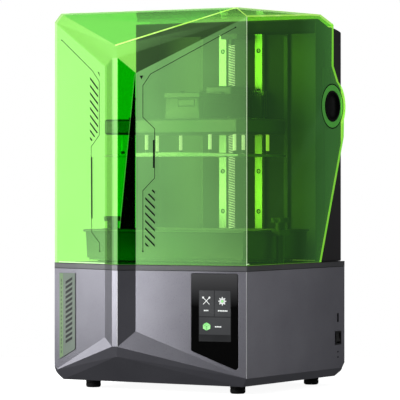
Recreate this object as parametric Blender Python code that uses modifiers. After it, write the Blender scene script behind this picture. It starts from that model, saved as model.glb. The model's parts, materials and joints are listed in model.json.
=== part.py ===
"""A desktop resin printer: a prow-fronted metal base, a flip-up translucent lid, a rear tower with
a screw-driven build platform on two rails, and a resin vat on a tray that tilts to peel a layer.

Lengths are in metres and +Z is up. Shapes are placed from the line of the base's two front
corners (y = 0 there, and y grows towards the back). The empty front_line carries the whole
printer back, so that the world origin is under the centre of its bounding box.
"""

import math

import bmesh
import bpy
from mathutils import Matrix, Vector

for old in list(bpy.data.objects):
    bpy.data.objects.remove(old, do_unlink=True)

# Overall envelope: 327.6 mm wide over the walls, 332.4 mm deep and 548 mm tall.
HALF_WIDTH = 0.1638
BACK = 0.2860
HEIGHT = 0.5480
GAP = 0.0003

# The prow: a narrow ridge left of centre, a shoulder each side of it, and a flat panel beyond.
RIDGE_X, RIDGE_Y, RIDGE_HALF = -0.0300, -0.0434, 0.0047
SHOULDER_Y, SHOULDER_REACH = -0.0289, 0.0263

# Heights of the base.
BOTTOM_Z = 0.0123
SIDE_FOOT_Z = 0.0249
BASE_TOP_Z = 0.1758
RIM_TOP_Z = 0.1836
BASE_WALL = 0.0025
DECK_WALL = 0.0030
UNDERCUT_APEX = Vector((RIDGE_X, -0.0384, 0.0520))
BASE_RIDGE_Z, BASE_LEFT_SHOULDER_Z, BASE_RIGHT_SHOULDER_Z = 0.0664, 0.0783, 0.0884
BOTTOM_HALF, BOTTOM_FRONT, BOTTOM_BACK = 0.1528, 0.0070, 0.2750

# Heights of the lid and its outline seen from the side.
LID_WALL = 0.0030
LID_LOW_Z = RIM_TOP_Z + GAP
LID_SHOULDER_Z = 0.5352
LID_APEX = Vector((RIDGE_X, -0.0409, 0.4974))
LID_RIDGE_Z, LID_LEFT_SHOULDER_Z, LID_RIGHT_SHOULDER_Z = 0.4788, 0.4673, 0.4571
LID_TOP_FRONT = (0.1490, -0.0040)
LID_TOP_BACK = (0.1620, 0.2170)
LID_BACK = 0.2520
LID_BACK_LOW_Z = 0.4733
EAR_END = (0.2835, 0.3684)
SKIRT_END_Y = 0.2144

# The lid's hinge line.
HINGE_Y, HINGE_Z = 0.2480, 0.4135
EAR_RADIUS = 0.0410
HUB_RADIUS = 0.0230
HUB_FACE_X = 0.1653

# The tower.
TOWER_HALF, TOWER_FRONT, TOWER_WALL = 0.1580, 0.2100, 0.0025
TOWER_BROW = (0.2170, 0.5415)  # where the hood starts to slope down under the roof
TOWER_CROWN = 0.1173  # the roof's back edge turns about the hinge line, so that the lid clears it
PANEL_Y = 0.2720
PLATE_Y, PLATE_HALF, PLATE_TOP_Z = 0.2665, 0.0780, 0.5250

# The Z axis.
RAIL_X, RAIL_HALF, RAIL_FRONT = 0.0315, 0.00625, 0.2579
RAIL_LOW_Z, RAIL_TOP_Z = 0.1860, 0.5240
SCREW_Y, SCREW_RADIUS = 0.2320, 0.0050
SCREW_LOW_Z, SCREW_TOP_Z = 0.1803, 0.5240
ARM_LOW_Z, ARM_TOP_Z, ARM_FRONT, ARM_BACK, ARM_HALF = 0.3965, 0.4318, 0.1040, 0.2495, 0.0300
RISE_HALF, RISE_FRONT, RISE_TOP_Z = 0.0230, 0.1940, 0.4446  # the arm's raised boss round the nut

# The build platform, above the screen's centre line.
CENTRE_Y = 0.1265
PLATFORM_HALF_X, PLATFORM_HALF_Y = 0.1150, 0.0695
SLAB_LOW_Z, SLAB_TOP_Z = 0.3710, 0.3935
SHEET_LOW_Z, SHEET_TOP_Z = 0.3383, 0.3415
POST_ROWS_Y, POST_COLUMNS_X, POST_RADIUS = (0.0795, 0.1742), (0.0545, 0.0960), 0.00275

# The vat and the tray that tilts under it.
VAT_HALF, VAT_FRONT, VAT_BACK = 0.1350, 0.0390, 0.2230
VAT_LOW_Z, VAT_RIM_Z, VAT_TOP_Z = 0.1903, 0.2285, 0.2320
KNOB_X = 0.1450
TRAY_HALF, TRAY_FRONT, TRAY_BACK, TRAY_LOW_Z, TRAY_TOP_Z = 0.1510, 0.0340, 0.2090, 0.1770, 0.1840
TILT_Y, TILT_Z = 0.2060, 0.1725
CAM_Y, CAM_Z, CAM_RADIUS, CAM_THROW = 0.0600, 0.1500, 0.0232, 0.0025

Y_CENTRE = (HINGE_Y + EAR_RADIUS + RIDGE_Y) / 2

PARTS = bpy.data.collections.new("resin_printer")
CUTTERS = bpy.data.collections.new("cutters")
for collection in (PARTS, CUTTERS):
    bpy.context.scene.collection.children.link(collection)


def empty(name, place, parent=None, turn=0.0):
    """An empty at place, given from its parent, turned about +Z."""
    made = bpy.data.objects.new(name, None)
    made.empty_display_size = 0.02
    made.location = place
    made.rotation_euler = (0, 0, turn)
    made.parent = parent
    PARTS.objects.link(made)
    return made


FRONT_LINE = empty("front_line", (0, -Y_CENTRE, 0))


def material(name, colour, roughness, metallic=0.0, alpha=1.0):
    made = bpy.data.materials.new(name)
    made.use_nodes = True
    shader = made.node_tree.nodes["Principled BSDF"]
    shader.inputs["Base Color"].default_value = (*colour, 1.0)
    shader.inputs["Roughness"].default_value = roughness
    shader.inputs["Metallic"].default_value = metallic
    shader.inputs["Alpha"].default_value = alpha
    return made


CASE = material("case_grey", (0.30, 0.30, 0.33), 0.38, 0.6)
RIM = material("rim_grey", (0.11, 0.11, 0.12), 0.45, 0.3)
DARK = material("dark_plastic", (0.045, 0.043, 0.045), 0.5)
RUBBER = material("black_rubber", (0.02, 0.02, 0.02), 0.8)
LID = material("lid_green", (0.30, 0.95, 0.20), 0.05, 0.0, 0.45)
SCREEN = material("black_glass", (0.005, 0.005, 0.006), 0.08)
LABEL = material("label_grey", (0.42, 0.48, 0.40), 0.5)
BOARD = material("board_green", (0.02, 0.14, 0.06), 0.5)
STEEL = material("bright_steel", (0.62, 0.63, 0.65), 0.22, 1.0)
ALUMINIUM = material("satin_aluminium", (0.55, 0.56, 0.58), 0.35, 1.0)
BLACK_METAL = material("black_metal", (0.03, 0.03, 0.032), 0.45, 0.7)
CLEAR = material("clear_film", (0.85, 0.9, 0.92), 0.05, 0.0, 0.3)
WHITE = material("white_plastic", (0.7, 0.7, 0.7), 0.5)


def add(name, mesh, finish, place=(0, 0, 0), turn=(0, 0, 0), parent=FRONT_LINE):
    """Puts a mesh in the printer, at a place measured from the front corner line."""
    if finish is not None:
        mesh.materials.append(finish)
    made = bpy.data.objects.new(name, mesh)
    made.location = place
    made.rotation_euler = turn
    made.parent = parent
    PARTS.objects.link(made)
    return made


def mesh_of(bm, name):
    mesh = bpy.data.meshes.new(name)
    bmesh.ops.recalc_face_normals(bm, faces=bm.faces)
    bm.to_mesh(mesh)
    bm.free()
    return mesh


def bevel(obj, width, segments=1):
    modifier = obj.modifiers.new("edges", "BEVEL")
    modifier.width = width
    modifier.segments = segments
    modifier.limit_method = "ANGLE"
    modifier.angle_limit = math.radians(40)
    return obj


def box(name, low, high, finish, edge=0.0):
    """A block between two corners, with its edges bevelled where edge is given."""
    low, high = Vector(low), Vector(high)
    bm = bmesh.new()
    bmesh.ops.create_cube(bm, size=1.0, matrix=Matrix.Diagonal((*(high - low), 1.0)))
    made = add(name, mesh_of(bm, name), finish, (low + high) / 2)
    return bevel(made, edge) if edge else made


AXIS_TURNS = {"X": (0, math.pi / 2, 0), "-X": (0, -math.pi / 2, 0),
              "Y": (-math.pi / 2, 0, 0), "Z": (0, 0, 0)}


def rod(name, radius, start, length, axis, finish, sides=24):
    """A cylinder from start, along +X, +Y or +Z."""
    bm = bmesh.new()
    bmesh.ops.create_cone(bm, cap_ends=True, segments=sides, radius1=radius, radius2=radius,
                          depth=length, matrix=Matrix.Translation((0, 0, length / 2)))
    mesh = mesh_of(bm, name)
    mesh.shade_smooth()
    mesh.set_sharp_from_angle(angle=math.radians(35))
    return add(name, mesh, finish, start, AXIS_TURNS[axis])


def turned(name, profile, base, axis, finish, steps=32, ring=False):
    """A turned shape: (radius, height) points, down the outer side and, for a ring, up the bore."""
    mesh = bpy.data.meshes.new(name)
    points = [(radius, 0, height) for radius, height in profile]
    edges = [(i, i + 1) for i in range(len(points) - 1)]
    if ring:
        edges.append((len(points) - 1, 0))
    mesh.from_pydata(points, edges, [])
    made = add(name, mesh, finish, base, AXIS_TURNS[axis])
    screw = made.modifiers.new("turn", "SCREW")
    screw.axis = "Z"
    screw.steps = screw.render_steps = steps
    screw.use_merge_vertices = True
    screw.merge_threshold = 0.00001
    screw.use_smooth_shade = True
    return made


OUTLINE_TURNS = {"XY": (0, 0, 0), "XZ": (math.pi / 2, 0, 0), "YZ": (math.pi / 2, 0, math.pi / 2)}


def plate(name, outline, plane, middle, thickness, finish, parent=FRONT_LINE):
    """An outline drawn in a plane, and thickened evenly to each side of its middle level."""
    curve = bpy.data.curves.new(name, "CURVE")
    curve.dimensions = "2D"
    curve.fill_mode = "BOTH"
    curve.extrude = thickness / 2
    spline = curve.splines.new("POLY")
    spline.points.add(len(outline) - 1)
    for point, (a, b) in zip(spline.points, outline):
        point.co = (a, b, 0, 1)
    spline.use_cyclic_u = True
    drawn = bpy.data.objects.new(name + "_outline", curve)
    CUTTERS.objects.link(drawn)
    bpy.context.view_layer.update()
    flat = bpy.data.meshes.new_from_object(drawn.evaluated_get(bpy.context.evaluated_depsgraph_get()))
    bpy.data.objects.remove(drawn, do_unlink=True)
    bm = bmesh.new()
    bm.from_mesh(flat)
    bmesh.ops.remove_doubles(bm, verts=bm.verts, dist=0.000001)
    place = {"XY": (0, 0, middle), "XZ": (0, middle, 0), "YZ": (middle, 0, 0)}[plane]
    return add(name, mesh_of(bm, name), finish, place, OUTLINE_TURNS[plane], parent)


def block(name, centre, half, finish):
    """A block about a centre, from half its size along each axis."""
    centre, half = Vector(centre), Vector(half)
    return box(name, centre - half, centre + half, finish)


def hull(name, points, finish):
    """The smallest convex solid around the points."""
    bm = bmesh.new()
    corners = [bm.verts.new(point) for point in points]
    made = bmesh.ops.convex_hull(bm, input=corners)
    loose = [item for item in made["geom_unused"] + made["geom_interior"]
             if isinstance(item, bmesh.types.BMVert)]
    bmesh.ops.delete(bm, geom=loose, context="VERTS")
    bmesh.ops.dissolve_limit(bm, angle_limit=math.radians(0.2), verts=bm.verts, edges=bm.edges)
    return add(name, mesh_of(bm, name), finish)


def boolean(target, other, operation):
    modifier = target.modifiers.new(other.name, "BOOLEAN")
    modifier.operation = operation
    modifier.solver = "EXACT"
    modifier.object = other
    other.hide_render = True
    other.display_type = "WIRE"
    PARTS.objects.unlink(other)
    CUTTERS.objects.link(other)
    return target


def cut(target, *cutters):
    for cutter in cutters:
        boolean(target, cutter, "DIFFERENCE")
    return target


def join(target, *others):
    for other in others:
        boolean(target, other, "UNION")
    return target


def settle(obj):
    """Makes the evaluated shape of an object its own mesh, so that its faces can be chosen."""
    bpy.context.view_layer.update()
    graph = bpy.context.evaluated_depsgraph_get()
    obj.data = bpy.data.meshes.new_from_object(obj.evaluated_get(graph))
    obj.modifiers.clear()
    return obj


def thicken(obj, wall):
    """Gives an open surface a wall inside it."""
    solidify = obj.modifiers.new("wall", "SOLIDIFY")
    solidify.thickness = wall
    solidify.offset = -1.0
    solidify.use_even_offset = True
    return obj


def shell(obj, wall, is_open):
    """Opens a solid at the faces that is_open picks, and gives the rest a wall inside its surface."""
    settle(obj)
    bm = bmesh.new()
    bm.from_mesh(obj.data)
    bmesh.ops.delete(bm, geom=[face for face in bm.faces if is_open(face)], context="FACES")
    bm.to_mesh(obj.data)
    bm.free()
    return thicken(obj, wall)


def mount_on(pivot, *pieces):
    """Parents pieces to an empty on their joint's axis, and leaves them where they are."""
    for piece in pieces:
        piece.parent = pivot
        piece.location = Vector(piece.location) - Vector(pivot.location)


def arc(centre, radius, start, end, count):
    """Points along an arc about a centre, between two angles in degrees."""
    turns = [math.radians(start + (end - start) * i / (count - 1)) for i in range(count)]
    return [(centre[0] + radius * math.cos(t), centre[1] + radius * math.sin(t)) for t in turns]


# ---------------------------------------------------------------- the prow that base and lid share

CORNER_LEFT = Vector((-HALF_WIDTH, 0))
CORNER_RIGHT = Vector((HALF_WIDTH, 0))
RIDGE_LEFT = Vector((RIDGE_X - RIDGE_HALF, RIDGE_Y))
RIDGE_RIGHT = Vector((RIDGE_X + RIDGE_HALF, RIDGE_Y))
SHOULDER_LEFT = Vector((RIDGE_X - SHOULDER_REACH, SHOULDER_Y))
SHOULDER_RIGHT = Vector((RIDGE_X + SHOULDER_REACH, SHOULDER_Y))
PROW = {"corner_left": CORNER_LEFT, "shoulder_left": SHOULDER_LEFT, "ridge_left": RIDGE_LEFT,
        "ridge_right": RIDGE_RIGHT, "shoulder_right": SHOULDER_RIGHT, "corner_right": CORNER_RIGHT}


def at(point, z):
    return Vector((point[0], point[1], z))


def prow_points(flat_z, corner_z, left_z, ridge_z, right_z):
    """The prow's upright edges, each from a flat end to where its own sloping facets begin."""
    ends = (corner_z, left_z, ridge_z, ridge_z, right_z, corner_z)
    points = {name + "_flat": at(place, flat_z) for name, place in PROW.items()}
    points.update({name: at(place, z) for (name, place), z in zip(PROW.items(), ends)})
    return points


def prow_faces():
    """The panels, flanks and ridge, and the facets that close the prow towards its apex."""
    names = list(PROW)
    faces = [(a + "_flat", b + "_flat", b, a) for a, b in zip(names, names[1:])]
    faces += [("corner_left", "shoulder_left", "ridge_left"),
              ("corner_right", "shoulder_right", "ridge_right"),
              ("corner_left", "ridge_left", "apex"), ("ridge_left", "ridge_right", "apex"),
              ("corner_right", "ridge_right", "apex"), ("corner_left", "apex", "front_left"),
              ("corner_right", "apex", "front_right"), ("apex", "front_left", "front_right")]
    return faces


def skin(name, points, faces, wall, finish):
    """An open faceted surface, from named corners, with a wall inside it."""
    bm = bmesh.new()
    corners = {key: bm.verts.new(place) for key, place in points.items()}
    for face in faces:
        bm.faces.new([corners[key] for key in face])
    return thicken(add(name, mesh_of(bm, name), finish), wall)


RIGHT_PANEL = empty("right_panel", at(SHOULDER_RIGHT, 0), FRONT_LINE,
                    math.atan2(-SHOULDER_Y, HALF_WIDTH - SHOULDER_RIGHT[0]))
LEFT_PANEL = empty("left_panel", at(CORNER_LEFT, 0), FRONT_LINE,
                   math.atan2(SHOULDER_Y, SHOULDER_LEFT[0] + HALF_WIDTH))

# ---------------------------------------------------------------- base: case, deck, plate and feet

SCREEN_OUTLINE = ((0.0860, 0.1700), (0.0880, 0.1720), (0.1546, 0.1720), (0.1566, 0.1700),
                  (0.1566, 0.0400), (0.1540, 0.0372), (0.1510, 0.0376), (0.0870, 0.0625),
                  (0.0860, 0.0645))
LABEL_OUTLINE = ((0.0123, 0.1690), (0.0469, 0.1690), (0.0469, 0.0587), (0.0123, 0.0426))
SCREEN_GAP = 0.0004
SWITCH_Y, SWITCH_Z, SWITCH_HALF_Y, SWITCH_HALF_Z = 0.2660, 0.0700, 0.0067, 0.0087
USB_Y, USB_Z, USB_HALF_Y, USB_HALF_Z = 0.2653, 0.1000, 0.0027, 0.0064
BEZEL_HALF_Y, BEZEL_HALF_Z = 0.0080, 0.0120
INLET_X, INLET_Z, INLET_HALF_X, INLET_HALF_Z = -0.1060, 0.0500, 0.0136, 0.0096
FLANGE_HALF_X, FLANGE_HALF_Z, FLANGE_LAP = 0.0250, 0.0170, 0.0024
FAN_X, FAN_Z, FAN_HOLE, FAN_HALF = 0.0900, 0.0900, 0.0280, 0.0300
THROUGH = 0.0100  # how far a cutter runs past each side of a thin wall
TRAY_OPENING = (0.1530, 0.0320, 0.2100)
COUPLING_HOLE = 0.0120


def grown(outline, margin):
    """An outline pushed out from its middle by margin each way."""
    middle = [sum(point[i] for point in outline) / len(outline) for i in (0, 1)]
    return [tuple(c + math.copysign(margin, c - m) for c, m in zip(point, middle))
            for point in outline]


def base_housing():
    """The sheet-metal case: open at the top, where the deck closes it, and at the bottom plate."""
    points = prow_points(BASE_TOP_Z, SIDE_FOOT_Z, BASE_LEFT_SHOULDER_Z, BASE_RIDGE_Z,
                         BASE_RIGHT_SHOULDER_Z)
    points["apex"] = UNDERCUT_APEX
    faces = prow_faces()
    for side, sign in (("left", -1), ("right", 1)):
        points["front_" + side] = Vector((sign * BOTTOM_HALF, BOTTOM_FRONT, BOTTOM_Z))
        points["rear_" + side] = Vector((sign * BOTTOM_HALF, BOTTOM_BACK, BOTTOM_Z))
        points["back_" + side] = Vector((sign * HALF_WIDTH, BACK, SIDE_FOOT_Z))
        points["back_flat_" + side] = Vector((sign * HALF_WIDTH, BACK, BASE_TOP_Z))
        corner = "corner_" + side
        faces += [(corner + "_flat", corner, "back_" + side, "back_flat_" + side),
                  (corner, "front_" + side, "rear_" + side, "back_" + side)]
    faces += [("back_left", "back_right", "rear_right", "rear_left"),
              ("back_flat_left", "back_flat_right", "back_right", "back_left")]
    case = skin("base_housing", points, faces, BASE_WALL, CASE)
    window = plate("screen_window", grown(SCREEN_OUTLINE, SCREEN_GAP), "XZ", 0, 2 * THROUGH, None,
                   RIGHT_PANEL)
    return cut(
        case, window,
        block("switch_hole", (HALF_WIDTH, SWITCH_Y, SWITCH_Z),
              (THROUGH, SWITCH_HALF_Y + GAP, SWITCH_HALF_Z + GAP), None),
        block("bezel_hole", (HALF_WIDTH, USB_Y, USB_Z),
              (THROUGH, BEZEL_HALF_Y + GAP, BEZEL_HALF_Z + GAP), None),
        block("inlet_hole", (INLET_X, BACK, INLET_Z),
              (FLANGE_HALF_X - FLANGE_LAP, THROUGH, FLANGE_HALF_Z - FLANGE_LAP), None),
        rod("fan_hole", FAN_HOLE, (FAN_X, BACK - THROUGH, FAN_Z), 2 * THROUGH, "Y", None, 16))


def top_deck():
    """The rim between case and lid, with the deck inside it and the opening for the tilting tray."""
    low = BASE_TOP_Z + GAP
    outline = [tuple(point) for point in PROW.values()] + [(HALF_WIDTH, BACK), (-HALF_WIDTH, BACK)]
    deck = plate("top_deck", outline, "XY", (low + RIM_TOP_Z) / 2, RIM_TOP_Z - low, RIM)
    shell(deck, DECK_WALL, lambda face: face.normal.z < -0.999)
    half, front, back = TRAY_OPENING
    return cut(deck,
               box("tray_opening", (-half, front, low - THROUGH), (half, back, RIM_TOP_Z + THROUGH),
                   None),
               rod("coupling_hole", COUPLING_HOLE, (0, SCREW_Y, low - THROUGH), 3 * THROUGH, "Z", None,
                   24))


def bottom_plate():
    """The plate that closes the case from below, just inside its leaning walls."""
    inset, thick = 0.0043, 0.0020
    half, front, back = BOTTOM_HALF - inset, BOTTOM_FRONT + inset, BOTTOM_BACK - inset
    return box("bottom_plate", (-half, front, BOTTOM_Z + GAP), (half, back, BOTTOM_Z + GAP + thick),
               BLACK_METAL)


FEET = {"foot_front_left": (-0.1236, 0.0425), "foot_front_right": (0.1236, 0.0425),
        "foot_rear_left": (-0.1236, 0.2558), "foot_rear_right": (0.1236, 0.2558)}


def feet():
    profile = [(0, BOTTOM_Z), (0.0110, BOTTOM_Z), (0.0110, 0.0030), (0.0100, 0.0010),
               (0.0085, 0), (0, 0)]
    for name, (x, y) in FEET.items():
        turned(name, profile, (x, y, 0), "Z", RUBBER, 24)


# ---------------------------------------------------------------- base: controls and sockets

def touch_screen():
    glass = plate("touch_screen", SCREEN_OUTLINE, "XZ", 0.0009, 0.0030, SCREEN, RIGHT_PANEL)
    low, high = (0.0920, 0.0760), (0.1500, 0.1640)
    corners = [(low[0], low[1]), (high[0], low[1]), (high[0], high[1]), (low[0], high[1])]
    plate("display_board", corners, "XZ", 0.0060, 0.0020, BOARD, RIGHT_PANEL)
    return glass


def label_plate():
    return plate("label_plate", LABEL_OUTLINE, "XZ", -0.0007, 0.0008, LABEL, LEFT_PANEL)


def power_switch():
    """A rocker that tips about a pin along Y, in a frame that clips into the right wall."""
    deep, well, lip, flange, wall = 0.0165, 0.0135, 0.0013, 0.0015, 0.0010
    face_x = HALF_WIDTH + lip
    frame = box("switch_frame", (HALF_WIDTH - deep, SWITCH_Y - SWITCH_HALF_Y, SWITCH_Z - SWITCH_HALF_Z),
                (HALF_WIDTH + GAP + 0.0001, SWITCH_Y + SWITCH_HALF_Y, SWITCH_Z + SWITCH_HALF_Z), DARK)
    join(frame, box("switch_flange",
                    (HALF_WIDTH + GAP, SWITCH_Y - SWITCH_HALF_Y - flange,
                     SWITCH_Z - SWITCH_HALF_Z - flange),
                    (face_x, SWITCH_Y + SWITCH_HALF_Y + flange, SWITCH_Z + SWITCH_HALF_Z + flange), None))
    cut(frame, box("switch_well",
                   (HALF_WIDTH - well, SWITCH_Y - SWITCH_HALF_Y + wall, SWITCH_Z - SWITCH_HALF_Z + wall),
                   (face_x + THROUGH, SWITCH_Y + SWITCH_HALF_Y - wall, SWITCH_Z + SWITCH_HALF_Z - wall),
                   None))
    pin_x, face, dip, thick = 0.1590, 0.0052, 0.0008, 0.0104
    tip = math.radians(8)
    outline = [(-0.0060, -0.0025), (0.0060, -0.0025), (0.0063, face), (0, face - dip),
               (-0.0063, face)]
    leaning = [(x * math.cos(tip) - z * math.sin(tip), z * math.cos(tip) + x * math.sin(tip))
               for z, x in outline]
    rocker = plate("power_rocker", leaning, "XZ", 0, thick, DARK)
    rocker.location = (pin_x, SWITCH_Y, SWITCH_Z)
    mount_on(empty("rocker_pivot", (pin_x, SWITCH_Y, SWITCH_Z), FRONT_LINE), rocker)


def sockets():
    """The data socket with its bezel in the right wall, and the mains inlet in the back one."""
    inner = HALF_WIDTH - BASE_WALL - GAP
    middle, half_wall = HALF_WIDTH - BASE_WALL / 2, BASE_WALL / 2
    bezel = block("usb_bezel", (middle, USB_Y, USB_Z), (half_wall, BEZEL_HALF_Y, BEZEL_HALF_Z), CASE)
    cut(bezel, block("bezel_slot", (middle, USB_Y, USB_Z), (THROUGH, USB_HALF_Y, USB_HALF_Z), None))
    deep, cavity, can_y, can_z = 0.0180, 0.0140, 0.0070, 0.0100
    port = box("usb_port", (inner - deep, USB_Y - can_y, USB_Z - can_z),
               (inner, USB_Y + can_y, USB_Z + can_z), STEEL)
    cut(port, box("usb_cavity", (inner - cavity, USB_Y - USB_HALF_Y + GAP, USB_Z - USB_HALF_Z + GAP),
                  (inner + THROUGH, USB_Y + USB_HALF_Y - GAP, USB_Z + USB_HALF_Z - GAP), None))
    wall, flange = 0.0016, 0.0020
    inlet = box("power_inlet", (INLET_X - INLET_HALF_X, BACK - 0.0200, INLET_Z - INLET_HALF_Z),
                (INLET_X + INLET_HALF_X, BACK + flange / 2, INLET_Z + INLET_HALF_Z), DARK)
    join(inlet, block("inlet_flange", (INLET_X, BACK + GAP + flange / 2, INLET_Z),
                      (FLANGE_HALF_X, flange / 2, FLANGE_HALF_Z), None))
    cut(inlet, box("inlet_cavity", (INLET_X - INLET_HALF_X + wall, BACK - 0.0160,
                                    INLET_Z - INLET_HALF_Z + wall),
                   (INLET_X + INLET_HALF_X - wall, BACK + THROUGH, INLET_Z + INLET_HALF_Z - wall), None))


# ---------------------------------------------------------------- base: light, power and electronics

def light_engine():
    """LED board on a finned heatsink, a flared reflector above it and a flat lens on top."""
    half, half_y, fin, fins, low, root, top = 0.0600, 0.0580, 0.0015, 10, 0.0200, 0.0320, 0.0380
    pitch = 2 * half / fins
    comb = [(-half, top), (-half, root)]
    for i in range(fins):
        left = -half + (i + 0.5) * pitch - fin
        comb += [(left, root), (left, low), (left + fin, low), (left + fin, root)]
    comb += [(half, root), (half, top)]
    plate("led_heatsink", comb, "XZ", CENTRE_Y, 2 * half_y, ALUMINIUM)
    board_low, board_top = top + GAP, top + 0.0020
    box("led_board", (-half, CENTRE_Y - half_y, board_low), (half, CENTRE_Y + half_y, board_top), BOARD)
    rings = ((board_top + 0.0010, 0.0580, 0.0560), (0.1545, 0.1100, 0.0640))
    flare = hull("light_reflector", [Vector((sx * a, CENTRE_Y + sy * b, z)) for z, a, b in rings
                                     for sx in (-1, 1) for sy in (-1, 1)], STEEL)
    shell(flare, 0.0015, lambda face: abs(face.normal.z) > 0.999)
    block("light_lens", (0, CENTRE_Y, 0.1583), (0.1110, 0.0650, 0.0017), CLEAR)


def electronics():
    """The power supply, the mainboard with its motor drivers, and the fan at the back grille."""
    box("power_supply", (-0.1500, 0.2060, 0.0200), (-0.0400, 0.2620, 0.0600), ALUMINIUM, 0.0010)
    board = box("mainboard", (0.0300, 0.2060, 0.0280), (0.1480, 0.2640, 0.0297), BOARD)
    join(board, box("driver_block", (0.0800, 0.2200, 0.0290), (0.1100, 0.2450, 0.0400), None))
    depth = 0.0150
    middle = BACK - BASE_WALL - depth / 2 - 0.0008
    frame = block("fan_frame", (FAN_X, middle, FAN_Z), (FAN_HALF, depth / 2, FAN_HALF), DARK)
    cut(frame, rod("fan_duct", FAN_HOLE, (FAN_X, middle - depth, FAN_Z), 2 * depth, "Y", None, 24))
    hub, long, blades = 0.0110, 0.0120, 7
    rotor = rod("fan_rotor", hub, (FAN_X, middle - long / 2, FAN_Z), long, "Y", DARK, 20)
    for i in range(blades):
        blade = box(f"fan_blade_{i}", (hub - 0.0020, -0.0008, -0.0055), (FAN_HOLE - 0.0018, 0.0008, 0.0055),
                    None)
        spread = Matrix.Rotation(i * math.tau / blades, 4, "Y")
        pitch = Matrix.Rotation(math.radians(-35), 4, "X") @ Matrix.Rotation(math.pi / 2, 4, "X")
        blade.data.transform(spread @ Matrix.Translation(blade.location) @ pitch)
        blade.location = (FAN_X, middle, FAN_Z)
        join(rotor, blade)
    mount_on(empty("fan_axle", (FAN_X, middle, FAN_Z), FRONT_LINE), rotor)


# ---------------------------------------------------------------- tower and hinge

def tower():
    """A hood that is open in front, the panel that closes its back, and the guide plate."""
    def side_profile(inset, front, low):
        radius, back = TOWER_CROWN - inset, BACK - inset
        end = math.degrees(math.acos((back - HINGE_Y) / radius))
        crown = arc((HINGE_Y, HINGE_Z), radius, 90, end, 7)
        brow_y, brow_z = TOWER_BROW[0], TOWER_BROW[1] - inset
        return [(front, low), (front, brow_z), (brow_y, brow_z), *crown, (back, low)]

    housing = plate("tower_housing", side_profile(0, TOWER_FRONT, RIM_TOP_Z + GAP), "YZ", 0,
                    2 * TOWER_HALF, DARK)
    inner = plate("tower_inside", side_profile(TOWER_WALL, TOWER_FRONT - 0.02, RIM_TOP_Z - 0.02),
                  "YZ", 0, 2 * (TOWER_HALF - TOWER_WALL), None)
    cut(housing, inner)
    low = RIM_TOP_Z + 2 * GAP
    half = TOWER_HALF - TOWER_WALL - 0.0005
    box("tower_panel", (-half, PANEL_Y, low), (half, PANEL_Y + 0.0020, PLATE_TOP_Z - 0.0010), DARK)
    bevelled = box("z_backplate", (-PLATE_HALF, PLATE_Y, low),
                   (PLATE_HALF, PANEL_Y - GAP, PLATE_TOP_Z - 0.0010), ALUMINIUM)
    bevel(bevelled, 0.0015)


def hinge():
    """At each side a dished hub that is fixed to the tower, with a friction washer behind the lid."""
    inner = TOWER_HALF + GAP
    depth = HUB_FACE_X - inner
    dish = [(0, depth - 0.0045), (0.0090, depth - 0.0045), (0.0150, depth - 0.0036),
            (0.0190, depth - 0.0014), (0.0205, depth), (HUB_RADIUS - 0.0006, depth),
            (HUB_RADIUS, depth - 0.0006), (HUB_RADIUS, 0), (0, 0)]
    thick = HALF_WIDTH - LID_WALL - GAP - inner
    washer = [(0.0310, thick), (0.0310, 0), (HUB_RADIUS + 0.0008, 0), (HUB_RADIUS + 0.0008, thick)]
    for side, axis, sign in (("left", "-X", -1), ("right", "X", 1)):
        base = (sign * inner, HINGE_Y, HINGE_Z)
        turned("hinge_hub_" + side, dish, base, axis, DARK, 32)
        turned("hinge_washer_" + side, washer, base, axis, BLACK_METAL, 32, ring=True)


def lid():
    """The lid: one moulded shell, open below and behind, that turns on the hubs."""
    past = 0.3200
    slope = (LID_SHOULDER_Z - HEIGHT) / (LID_BACK - LID_TOP_BACK[1])
    past_z = LID_SHOULDER_Z + slope * (past - LID_BACK)
    points = prow_points(LID_LOW_Z, LID_SHOULDER_Z, LID_LEFT_SHOULDER_Z, LID_RIDGE_Z,
                         LID_RIGHT_SHOULDER_Z)
    points["apex"] = LID_APEX
    faces = prow_faces()
    for side, sign in (("left", -1), ("right", 1)):
        points["front_" + side] = Vector((sign * LID_TOP_FRONT[0], LID_TOP_FRONT[1], HEIGHT))
        points["rear_" + side] = Vector((sign * LID_TOP_BACK[0], LID_TOP_BACK[1], HEIGHT))
        points["back_" + side] = Vector((sign * HALF_WIDTH, LID_BACK, LID_SHOULDER_Z))
        points["past_" + side] = Vector((sign * HALF_WIDTH, past, past_z))
        points["past_flat_" + side] = Vector((sign * HALF_WIDTH, past, LID_LOW_Z))
        corner = "corner_" + side
        faces += [(corner, "front_" + side, "rear_" + side), (corner, "rear_" + side, "back_" + side),
                  (corner + "_flat", corner, "back_" + side, "past_" + side, "past_flat_" + side)]
    faces += [("front_left", "front_right", "rear_right", "rear_left"),
              ("rear_left", "rear_right", "back_right", "past_right", "past_left", "back_left")]
    cover = skin("lid_shell", points, faces, LID_WALL, LID)
    ear = arc((HINGE_Y, HINGE_Z), EAR_RADIUS, 62, -28, 13)
    behind = [(LID_BACK, HEIGHT + 0.02), (LID_BACK, LID_BACK_LOW_Z), *ear, EAR_END,
              (SKIRT_END_Y, LID_LOW_Z), (SKIRT_END_Y, LID_LOW_Z - 0.02), (past + 0.02, LID_LOW_Z - 0.02),
              (past + 0.02, HEIGHT + 0.02)]
    wide = 2 * HALF_WIDTH + 0.02
    cut(cover, plate("behind_lid", behind, "YZ", 0, wide, None),
        rod("hub_holes", HUB_RADIUS + 0.0004, (-wide / 2, HINGE_Y, HINGE_Z), wide, "X", None, 32))
    mount_on(empty("lid_pivot", (0, HINGE_Y, HINGE_Z), FRONT_LINE), cover)


# ---------------------------------------------------------------- Z axis

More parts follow.
